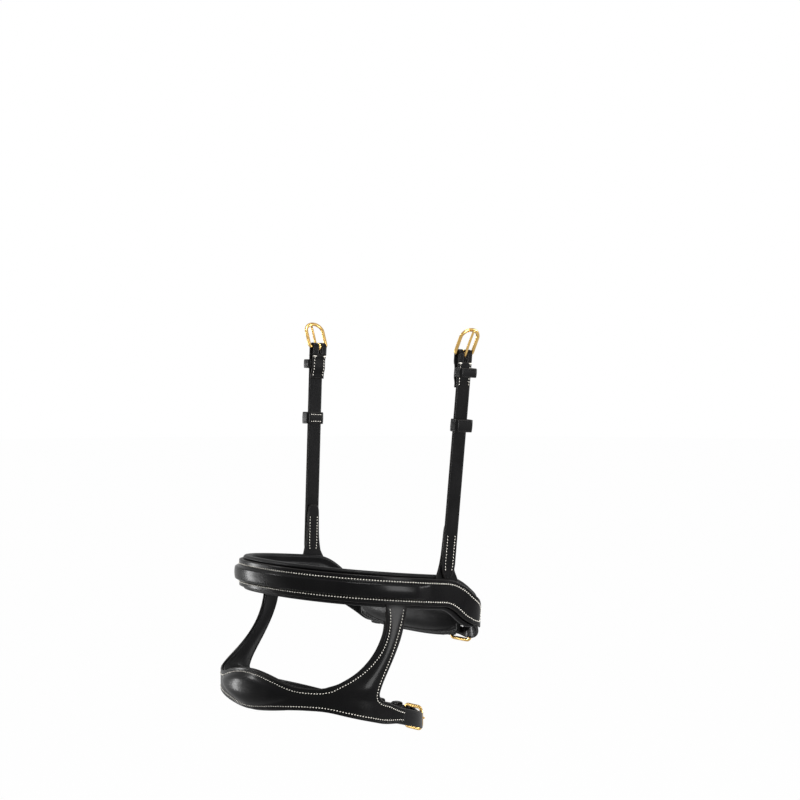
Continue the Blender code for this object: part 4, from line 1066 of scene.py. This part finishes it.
def side_patch(foot, top, steps):
    """A side strap between its foot, its top and two curves: both ruled patches, less that of the corners."""
    tilt, top_lead = 0.08, 0.0504
    front_lead, front_swing = 0.0279, 0.0325
    back_lead, back_swing = 0.0248, 0.0179
    _, along, _, upward = LOWER.frame(np.array([SIDE_FRONT, SIDE_BACK]))
    down = unit(foot[[0, -1]].mean(axis=0) - top[[0, -1]].mean(axis=0)) * top_lead
    rearward = unit(top[-1] - top[0])
    start = foot[0] + (along[0] + upward[0] * tilt) * front_lead
    front = bezier(foot[0], start, top[0] + down + rearward * front_swing, top[0], steps)
    start = foot[-1] + (upward[1] * tilt - along[1]) * back_lead
    back = bezier(foot[-1], start, top[-1] + down + rearward * back_swing, top[-1], steps)
    u = np.linspace(0, 1, len(foot))[:, None, None]
    t = np.linspace(0, 1, steps)[None, :, None]
    corners = (1 - u) * (1 - t) * foot[0] + u * (1 - t) * foot[-1] + (1 - u) * t * top[0] + u * t * top[-1]
    ruled = (1 - t) * foot[:, None] + t * top[:, None] + (1 - u) * front[None] + u * back[None]
    return ruled - corners


def yoke_sheets(end, level, crowned, tongue_rows):
    """Grids of half the yoke: its band, its side strap and the end tucked under the nose band."""
    arcs = spread(0.0, end, 0.0016, (SIDE_FRONT, SIDE_BACK))
    arc, share = grid_of(arcs, spread(-1, 1, 0.06, (), 0.07))
    height = yoke_half(arc) * share
    crown = nose_crown(arc, height) if crowned else 0.0
    band_sheet = LOWER.point(arc, height, level + crown)
    inside = (arcs >= SIDE_FRONT - 1e-7) & (arcs <= SIDE_BACK + 1e-7)
    below_band, tongue_length = 0.003, 0.011
    tuck = -BAND_HEIGHT / 2 - below_band
    top_share = (arcs[inside] - SIDE_FRONT) / (SIDE_BACK - SIDE_FRONT)
    top_arcs = SIDE_TOP + SIDE_HALF * (2 * top_share - 1)
    top_level = INNER_LEVEL + level - OUTER_LEVEL
    strap = side_patch(band_sheet[inside, -1], UPPER.point(top_arcs, tuck, top_level), 60)
    tongue = UPPER.point(*grid_of(top_arcs, np.linspace(tuck, tuck + tongue_length, tongue_rows)), top_level)
    return band_sheet, strap, tongue


def merged(verts, faces):
    """The same mesh, with the vertices made one that lie within 2 micrometres of each other."""
    places = np.round(verts / 2e-6).astype(np.int64)
    _, first, index = np.unique(places, axis=0, return_index=True, return_inverse=True)
    return verts[first], index.ravel()[faces]


def weld(grids):
    """Vertices and quads of several grids, their shared borders made one, all facing away from the middle."""
    faces, count = [], 0
    for grid in grids:
        index = np.arange(grid.shape[0] * grid.shape[1]).reshape(grid.shape[:2]) + count
        across = np.cross(grid[1:, :-1] - grid[:-1, :-1], grid[:-1, 1:] - grid[:-1, :-1])
        outside = (across[..., 0] * grid[:-1, :-1, 0]).sum() > 0
        faces.append(quads(index) if outside else quads(index)[:, ::-1])
        count += index.size
    return merged(np.concatenate([grid.reshape(-1, 3) for grid in grids]), np.concatenate(faces))


def vertex_normals(verts, faces):
    """Area-weighted normals: each vertex adds up the cross products of its faces' diagonals."""
    corner = verts[faces]
    away = np.cross(corner[:, 2] - corner[:, 0], corner[:, 3] - corner[:, 1])
    total = np.zeros_like(verts)
    for k in range(4):
        np.add.at(total, faces[:, k], away)
    return unit(total)


def edges_of(faces):
    """The two vertex numbers of every side of every face."""
    return np.concatenate([faces[:, [k, (k + 1) % 4]] for k in range(4)])


def border_points(faces):
    """Numbers of the vertices on edges that only one face has."""
    edges, times = np.unique(np.sort(edges_of(faces), axis=1), axis=0, return_counts=True)
    return np.unique(edges[times == 1])


def relax(verts, faces, rounds, fixed, weight=1.0):
    """Moves each free vertex halfway to the mean of its neighbours, times its weight, so many times."""
    pairs = edges_of(faces)
    pairs = np.concatenate([pairs, pairs[:, ::-1]])
    degree = np.bincount(pairs[:, 0], minlength=len(verts))[:, None]
    free = np.ones(len(verts), bool)
    free[fixed] = False
    for _ in range(rounds):
        total = np.zeros_like(verts)
        np.add.at(total, pairs[:, 0], verts[pairs[:, 1]])
        verts = np.where(free[:, None], verts + weight * (total / degree - verts) / 2, verts)
    return verts


def nearest(points, others):
    """Distance of each point from the nearest of the others, in parts that keep the tables small."""
    parts = np.array_split(points.reshape(-1, 3), 24)
    off = [np.linalg.norm(part[:, None] - others, axis=2).min(axis=1) for part in parts]
    return np.concatenate(off).reshape(points.shape[:-1])


def yoke_piece(name, grids, thickness):
    """The welded half and its mirror image, evened out beside the side straps' feet, and thickened."""
    rounds, foot_rounds, foot_reach = 6, 60, 0.011
    verts, faces = weld(grids)
    faces = np.concatenate([faces, faces[:, ::-1] + len(verts)])
    verts, faces = merged(np.concatenate([verts, verts * [-1, 1, 1]]), faces)
    border = border_points(faces)
    verts = relax(verts, faces, rounds, border)
    on_left = np.abs(verts) * [1, -1, -1]
    off_foot = nearest(on_left, grids[1][::3, 0])
    verts = relax(verts, faces, foot_rounds, border, (1 - smooth(off_foot / foot_reach))[:, None])
    normal = vertex_normals(verts, faces)
    distance = nearest(verts, verts[border])
    distance[border] = 0.0
    half = normal * (thickness / 2 * arch(distance / (thickness * EDGE_ROUND)))[:, None]
    return two_faced(name, verts + half, verts - half, faces, distance), verts, normal


yoke_grids = yoke_sheets(YOKE_END, OUTER_LEVEL, True, 6)
yoke, yoke_verts, yoke_normals = yoke_piece("lower_yoke_leather", yoke_grids, YOKE_LEATHER)
YOKE_FINISH = leather_finish("moulded yoke leather", 0.0022, 0.31)
dress(yoke, YOKE_FINISH, "black_leather", "noseband", "lower_yoke_outer")


def evened(line, count):
    """A line as so many points at even distances."""
    lengths = lengths_along(line)
    return along_line(line, lengths, np.linspace(0, lengths[-1], count))


def seam_beside(border, inset, *grids):
    """A line at an inset from a border: on each row of each grid, the first point that is so far off."""
    line = []
    for grid in grids:
        distance = nearest(grid, evened(border, 700))
        beyond = distance >= inset
        rows = np.flatnonzero(~beyond[:, 0] & beyond.any(axis=1))
        after = beyond[rows].argmax(axis=1)
        low, high = distance[rows, after - 1], distance[rows, after]
        share = ((inset - low) / (high - low))[:, None]
        line.append(grid[rows, after - 1] * (1 - share) + grid[rows, after] * share)
    return np.concatenate(line)


def on_yoke(line):
    """A seam laid on the yoke's outer face: evened, lifted from the nearest middle point, and smoothed."""
    line = evened(line, 500)
    below = np.linalg.norm(line[:, None] - yoke_verts[None], axis=2).argmin(axis=1)
    normal = yoke_normals[below]
    off = np.einsum("ij,ij->i", line - yoke_verts[below], normal)
    line = line + normal * (YOKE_LEATHER / 2 - off)[:, None]
    kernel = np.hanning(15)[1:-1] / np.hanning(15).sum()

    def smoothed(values):
        """Means weighted by the kernel, with both ends held on."""
        padded = np.pad(values, ((6, 6), (0, 0)), mode="edge")
        return np.stack([np.convolve(column, kernel, mode="valid") for column in padded.T], axis=1)

    return smoothed(line), unit(smoothed(normal))


band_sheet, side_sheet, _ = yoke_grids
band_arcs = spread(0.0, YOKE_END, 0.0016, (SIDE_FRONT, SIDE_BACK))
before = band_arcs <= SIDE_FRONT + 1e-7
after = band_arcs >= SIDE_BACK - 1e-7
front_border = np.concatenate([band_sheet[before, -1], side_sheet[0, 1:]])
back_border = np.concatenate([side_sheet[-1, :0:-1], band_sheet[after, -1]])
from_bottom = band_sheet[:-3]
from_top = from_bottom[:, ::-1]
from_front = side_sheet.transpose(1, 0, 2)
from_back = from_front[::-1, ::-1]
rows = []
for line in (
    seam_beside(front_border, YOKE_FRONT_SEAM, from_top, from_front),
    seam_beside(back_border, YOKE_SEAM, from_back, from_top),
    seam_beside(band_sheet[:, 0], YOKE_SEAM, from_bottom),
):
    points, normals = on_yoke(line)
    rows += [stitch_row(points * [side, 1, 1], normals * [side, 1, 1]) for side in (1, -1)]
stitching("lower_yoke_stitching", rows)


# Lining of the lower yoke: thin soft leather on the horse's side, cut to the same outline. It stops short of
# the rear ends, where the chin strap and its billet are sewn in, and a little below the nose band.
YOKE_LINING = 0.0014
band_sheet, side_sheet, _ = yoke_sheets(YOKE_END - END_LAP, INNER_LEVEL, False, 3)
yoke_lining, _, _ = yoke_piece("lower_yoke_soft_lining", [band_sheet, side_sheet[:, :-2]], YOKE_LINING)
dress(yoke_lining, SOFT_LEATHER, "lining_leather", "noseband", "lower_yoke_lining")


# Filler and pad of the lower band: a felt filler keeps the moulded front raised, and a thin
# foam pad in soft leather is sewn on the horse's side over the nose.
FELT_INSET = 0.0072
NOSE_PAD = 0.0034
NOSE_PAD_FULLNESS = 0.0018
NOSE_PAD_DROOP = 0.0022
NOSE_PAD_SEAM = 0.0038
felt_end = 0.038
arc, share = strip(felt_end, 0.003, 0.12, radius=0.1, across=0.1)
half = yoke_half(arc) - FELT_INSET
height = half * share
rise = np.maximum(nose_crown(arc, height) - 4 * GAP, 0.0)
felt = leather_piece(
    "lower_nose_felt", LOWER.point, arc, height, off_cuts(half, height, felt_end, arc), 2 * GAP,
    INNER_LEATHER + 2 * GAP, rise, 0.0,
)
dress(felt, WOOL_FELT, "filler_felt", "noseband", "lower_nose_filler")

pad_end = 0.066
arc, share = strip(pad_end, 0.0018, 0.06, radius=0.06, across=0.06)
closing = np.sqrt(np.clip(1.02 - (arc / pad_end) ** 4, 0, 1))
half = (yoke_half(arc) - 2 * GAP) * (0.62 + 0.38 * closing) + NOSE_PAD_DROOP * (share < 0) * closing
height = half * share
cut_distance = off_cuts(half, height, pad_end, arc)
under = -NOSE_PAD_FULLNESS * smooth(cut_distance / 0.008)
under = under - puckers(arc, height, 0.00012) * smooth(cut_distance / 0.006)
under = under + 0.0006 * bell(cut_distance - NOSE_PAD_SEAM, 0.0009)
nose_pad = leather_piece(
    "lower_nose_padding", LOWER.point, arc, height, cut_distance, NOSE_PAD, -GAP - NOSE_PAD / 2,
    0.0, under, NOSE_PAD / 2,
)
dress(nose_pad, SOFT_LEATHER, "lining_leather", "noseband", "lower_nose_pad")


# Jaw strap and its billet: the strap from the right is folded outwards round the buckle's bar and sewn down;
# the billet from the left runs through the buckle, through both keepers, and ends in a rounded tip.
class Closure:
    """Frame of a ring's closure behind the jaw: reach is measured from the middle to the horse's left."""

    def __init__(self, ring, width, heel, length):
        self.ring = ring
        self.half = width / 2
        self.heel = heel
        self.length = length
        self.bar_level = INNER_LEATHER + GAP + BAR_RADIUS

    def spot(self, height, reach, level):
        """The ring's place at a reach from its rear middle."""
        return self.ring.point(self.ring.length - np.asarray(reach, float), height, level)

    def at_heel(self, across, up, out):
        """The middle of the buckle's bar, moved by the three distances."""
        arc = np.array(self.ring.length - self.heel)
        _, along, outward, upward = self.ring.frame(arc)
        bar = self.ring.point(arc, 0.0, self.bar_level)
        across, up, out = scales(across, up, out)
        return bar + upward * across - along * up + outward * out


def add_chape_strap(label, closure, start):
    """The strap with its folded end, slot and stitching; its middle line is the ring, then the fold."""
    first = start - closure.ring.length - closure.heel
    fold = Fold(np.concatenate([[[first, 0.0]], fold_path(INNER_LEATHER)]))

    def place(run, height, level):
        """The fold's point at the run and the level, laid on the ring from the heel on."""
        reach, out = fold.at(run, -level)
        return closure.spot(height, reach + closure.heel, INNER_LEVEL - out)

    slot = chape_slot(-SLOT_REACH - first, INNER_LEATHER)
    run, height, distance = strap_grid(fold.end, closure.half, slot)
    node = label + "_strap"
    piece = leather_piece(node + "_leather", place, run, height, distance, INNER_LEATHER, 0.0)
    dress(piece, STRAP_FINISH, "black_leather", "noseband", node)
    rows = chape_seams(place, slot[0], fold.end, closure.half, -INNER_LEATHER / 2)
    stitching(node + "_leather_stitching", rows)


def add_billet(label, closure, start, tip):
    """The billet: level under the buckle's top, up over the bar and the chape, then flat to its tip."""
    over_fold = closure.bar_level + BAR_RADIUS + INNER_LEATHER + 3 * GAP + INNER_LEVEL
    over_seat = 2 * INNER_LEATHER + KEEPER_LEATHER + 4 * GAP + INNER_LEVEL
    over_chape = 2 * INNER_LEATHER + 3 * GAP + INNER_LEVEL
    heel, first = closure.heel, closure.ring.length - start
    corners = [
        (heel + closure.length * 1.15, INNER_LEVEL),
        (heel + closure.length * 0.9, INNER_LEVEL),
        (heel + BAR_RADIUS * 2, over_fold),
        (heel - SLOT_REACH * 1.1, over_fold),
        (heel - KEEPER_SEAT[0] * 1.02, over_seat),
        (heel - KEEPER_SEAT[1], over_seat),
        (heel - CHAPE_LENGTH, over_chape),
        (tip, over_chape),
    ]
    fold = Fold(np.concatenate([[[first, INNER_LEVEL]], round_bends(corners, 0.0045)]))
    half = closure.half - 2 * GAP
    point_length = closure.half * 1.5
    blunt, power = 0.06, 2.2

    def share_of_width(run):
        """The tip: its width falls along a superellipse over the point's length, to a blunt end."""
        left = np.clip((fold.end - run) / point_length, 0, 1)
        return blunt + (1 - blunt) * np.sqrt(1 - (1 - left) ** power)

    def place(run, height, level):
        """The fold's point at the run and the level, laid on the ring."""
        reach, out = fold.at(run, -level)
        return closure.spot(height, reach, out)

    holes = (heel + closure.length * 0.68, heel - BAR_RADIUS)
    slot = [float(np.interp(-reach, -fold.path[:, 0], fold.lengths)) for reach in holes]
    run, height, distance = strap_grid(fold.end, half, slot, share_of_width)
    node = label + "_billet"
    piece = leather_piece(node + "_leather", place, run, height, distance, INNER_LEATHER, 0.0)
    dress(piece, CREASED_STRAP, "black_leather", "noseband", node)


CREASED_STRAP = leather_finish("creased billet leather", 0.0018, 0.32, grain=0.9, coat=0.08, groove=0.00045)


def add_closure(label, ring, width, heel, length, runner):
    """Buckle, tongue, fixed keeper and runner keeper of one closure."""
    closure = Closure(ring, width, heel, length)
    half_width = closure.half + 2 * GAP + BAR_RADIUS
    add_buckle_frame(label + "_buckle_frame", closure.at_heel, half_width, length, False, label + "_frame")
    add_tongue(label + "_buckle_tongue", closure.at_heel, length, label + "_tongue")
    half = closure.half + KEEPER_SLACK + KEEPER_LEATHER / 2
    inner = INNER_LEATHER + GAP + KEEPER_LEATHER / 2
    outer = 3 * INNER_LEATHER + 1.5 * KEEPER_LEATHER + 4 * GAP + KEEPER_SLACK
    loop, middle = (half, inner, outer), heel - sum(KEEPER_SEAT) / 2
    add_keeper(label + "_fixed_keeper", closure.spot, middle, *loop, FIXED_KEEPER_WIDTH, "noseband")
    inner = -(GAP + KEEPER_LEATHER / 2)
    outer = 3 * (INNER_LEATHER + GAP) + KEEPER_SLACK + KEEPER_LEATHER / 2
    loop = half, inner, outer
    add_keeper(label + "_runner_keeper", closure.spot, runner, *loop, KEEPER_WIDTH, label + "_keeper", True)
    return closure


jaw = add_closure("jaw", UPPER, width=0.022, heel=0.0465, length=0.026, runner=-0.062)
lap = BAND_END - END_LAP + GAP
add_chape_strap("jaw", jaw, lap)
add_billet("jaw", jaw, lap, tip=-0.078)


# Jaw pad: a foam cushion covered in soft leather that lies against the jaw, inside the strap.
# Its crowned face has a flat welt all round; a leather sleeve sewn on its back lets the strap slide through.
PAD_LENGTH = 0.146
PAD_HALF = 0.019
PAD_RISE = 0.0065
PAD_MIDDLE = -0.006
PAD_WELT = 0.0040
PAD_CROWN = 0.0092
PAD_RIM = 0.0036
PAD_SEAM = 0.0034
PAD_ROUND = 0.0018
SLEEVE_START = -0.044
SLEEVE_END = -0.008
pad_back = -(KEEPER_LEATHER + 2 * GAP) - GAP


def pad_place(run, height, level):
    """Place on the pad, which is straight from the jaw's middle: run to the horse's left, height up."""
    middle = jaw.spot(0.0, 0.0, 0.0)
    run, height, level = scales(run, height, level)
    return middle + (run + PAD_MIDDLE) * [1.0, 0, 0] + (height + PAD_RISE) * [0, 0, 1.0] + level * [0, 1.0, 0]


run, share = strip(PAD_LENGTH / 2, 0.0014, 0.05, radius=0.06, across=0.06)
swell = np.sqrt(np.clip(1.0 - np.abs(run / (PAD_LENGTH / 2)) ** 2.8, 0, 1))
half = PAD_HALF * (0.46 + 0.54 * swell)
height = half * share
cut_distance = off_cuts(half, height, PAD_LENGTH / 2, run)
inside = cut_distance - PAD_SEAM
off_middle = np.abs(run / (PAD_LENGTH / 2 - PAD_RIM)) ** 2.6 + np.abs(height / (PAD_HALF - PAD_RIM)) ** 2.2
crown = PAD_CROWN * (1 - np.clip(off_middle, 0, 1) ** 1.2) ** 0.7
crown = crown + puckers(run, height, 0.00010) * smooth(inside / 0.004)
under = 0.0008 * bell(inside, 0.0011) - crown
jaw_pad = leather_piece(
    "jaw_pad_cushion", pad_place, run, height, cut_distance, PAD_WELT, pad_back - PAD_WELT / 2,
    0.0, under, PAD_ROUND,
)
dress(jaw_pad, SOFT_LEATHER, "lining_leather", "jaw_cushion", "jaw_pad")


def add_sleeve():
    """The sleeve: a strip whose ends are sewn on the pad's back and whose middle arches over the strap."""
    outer = INNER_LEATHER + GAP + KEEPER_LEATHER / 2
    edge = jaw.half + 2 * GAP
    foot = pad_back + GAP + KEEPER_LEATHER / 2
    flange = PAD_HALF * 0.78
    corners = [
        (PAD_RISE - flange, foot),
        (-edge - KEEPER_LEATHER, foot),
        (-edge - KEEPER_LEATHER / 2, outer),
        (edge + KEEPER_LEATHER / 2, outer),
        (edge + KEEPER_LEATHER, foot),
        (PAD_RISE + flange, foot),
    ]
    fold = Fold(round_bends(corners, KEEPER_LEATHER * 1.2))

    def place(run, reach, level):
        """The fold's point at the run and the level, at a reach along the jaw strap."""
        height, out = fold.at(run, level)
        return jaw.spot(height, reach, out)

    run, reach = grid_of(spread(0.0, fold.end, 0.0009), spread(SLEEVE_START, SLEEVE_END, 0.0014))
    off_sides = np.minimum(reach - SLEEVE_START, SLEEVE_END - reach)
    distance = np.minimum(np.minimum(run, fold.end - run), off_sides)
    sleeve = leather_piece("jaw_pad_sleeve_leather", place, run, reach, distance, KEEPER_LEATHER, 0.0)
    dress(sleeve, CREASED_LEATHER, "black_leather", "jaw_cushion", "jaw_pad_sleeve")


add_sleeve()


# Chin strap and its billet: straps of the same leather, sewn in at the ends of the lower band.
# The closure is made as the jaw's, narrower: a square brass buckle and two keepers.
chin = add_closure("chin", LOWER, width=0.016, heel=0.038, length=0.022, runner=-0.004)
lap = YOKE_END - END_LAP + 2 * GAP
add_chape_strap("chin", chin, lap)
add_billet("chin", chin, lap, tip=-0.026)


# Studio: a pale floor far below the hanging noseband, a white world behind it, and five soft boxes
# turned to the noseband's middle.
NOSEBAND_MIDDLE = (0.0, -0.04, -0.22)


def floor_finish():
    """White floor: it shows white to the camera and in reflections, and keeps a share of the shadow."""
    material = bpy.data.materials.new("pale floor")
    nodes = Nodes(material)
    nodes.tree.nodes.clear()
    paint = nodes.node("ShaderNodeBsdfDiffuse", None, {"Color": (0.86, 0.86, 0.86, 1)})
    glow = nodes.node("ShaderNodeEmission")
    white = nodes.seen_by("Is Camera Ray", "Is Glossy Ray") * 0.985
    blend = nodes.node("ShaderNodeMixShader", None, {0: white, 1: paint.outputs[0], 2: glow.outputs[0]})
    nodes.node("ShaderNodeOutputMaterial", None, {"Surface": blend.outputs[0]})
    return material


def add_floor():
    """A round disc of floor, a metre below the buckles."""
    corners, radius, depth = 64, 12, -1.0
    turn = np.linspace(0, 2 * math.pi, corners, endpoint=False)
    ring = np.stack([np.cos(turn) * radius, np.sin(turn) * radius, np.full(corners, depth)], axis=1)
    mesh = bpy.data.meshes.new("floor")
    mesh.from_pydata(ring.tolist(), [], [list(range(corners))])
    mesh.materials.append(floor_finish())
    add_object("floor", mesh)


def white_world():
    """A world that lights softly, and that the camera and reflections see as white."""
    world = bpy.data.worlds.new("studio")
    bpy.context.scene.world = world
    nodes = Nodes(world)
    seen = nodes.seen_by("Is Camera Ray", "Is Glossy Ray", "Is Transmission Ray")
    color = nodes.mix(seen, (0.40, 0.40, 0.41, 1), (1, 1, 1, 1))
    nodes.feed(nodes.tree.nodes["Background"], {"Color": color, "Strength": 1.0})


def level_axes(back):
    """Columns right, up and back of a lamp or a camera that stands level and looks away from back."""
    back = unit(np.asarray(back, float))
    right = unit(np.cross([0, 0, 1.0], back))
    return np.stack([right, np.cross(back, right), back], axis=1)


def stand(thing, axes, spot):
    """Puts a lamp or a camera at a spot, turned to its axes."""
    turned = np.eye(4)
    turned[:3, :3] = axes
    turned[:3, 3] = spot
    thing.matrix_world = Matrix(turned.tolist())


def add_soft_box(name, spot, size, power):
    """A rectangular soft box that faces the noseband's middle."""
    lamp = bpy.data.lights.new(name, "AREA")
    lamp.shape = "RECTANGLE"
    lamp.size, lamp.size_y = size
    lamp.energy = power
    stand(add_object(name, lamp), level_axes(np.subtract(spot, NOSEBAND_MIDDLE)), spot)


add_floor()
white_world()
add_soft_box("key", (-1.75, -1.0, -0.35), (0.35, 0.9), 32)
add_soft_box("upper key", (-1.3, -1.2, 1.0), (0.3, 0.4), 20)
add_soft_box("top", (0.55, 0.15, 1.25), (0.8, 0.25), 24)
add_soft_box("side", (2.0, 0.35, 0.0), (0.6, 0.8), 30)
add_soft_box("rear", (1.15, 1.7, 0.10), (0.4, 0.5), 20)


# Camera: where the photograph was taken from, to the front left of the horse's head and a little above.
# A 105 mm lens on a 36 mm square frame. The shift, right and up, is from between the cheek buckles.
AZIMUTH = math.radians(50)
ELEVATION = math.radians(3.5)
DISTANCE = 2.2
SHIFT = (0.0113, -0.0470)

lens = bpy.data.cameras.new("camera")
lens.lens = 105
lens.sensor_width = 36
camera = add_object("camera", lens)
level_back = np.array([math.sin(AZIMUTH), -math.cos(AZIMUTH), 0.0]) * math.cos(ELEVATION)
axes = level_axes(level_back + [0, 0, math.sin(ELEVATION)])
stand(camera, axes, axes @ [*SHIFT, DISTANCE])
bpy.context.scene.camera = camera
bpy.context.scene.view_settings.view_transform = "Standard"
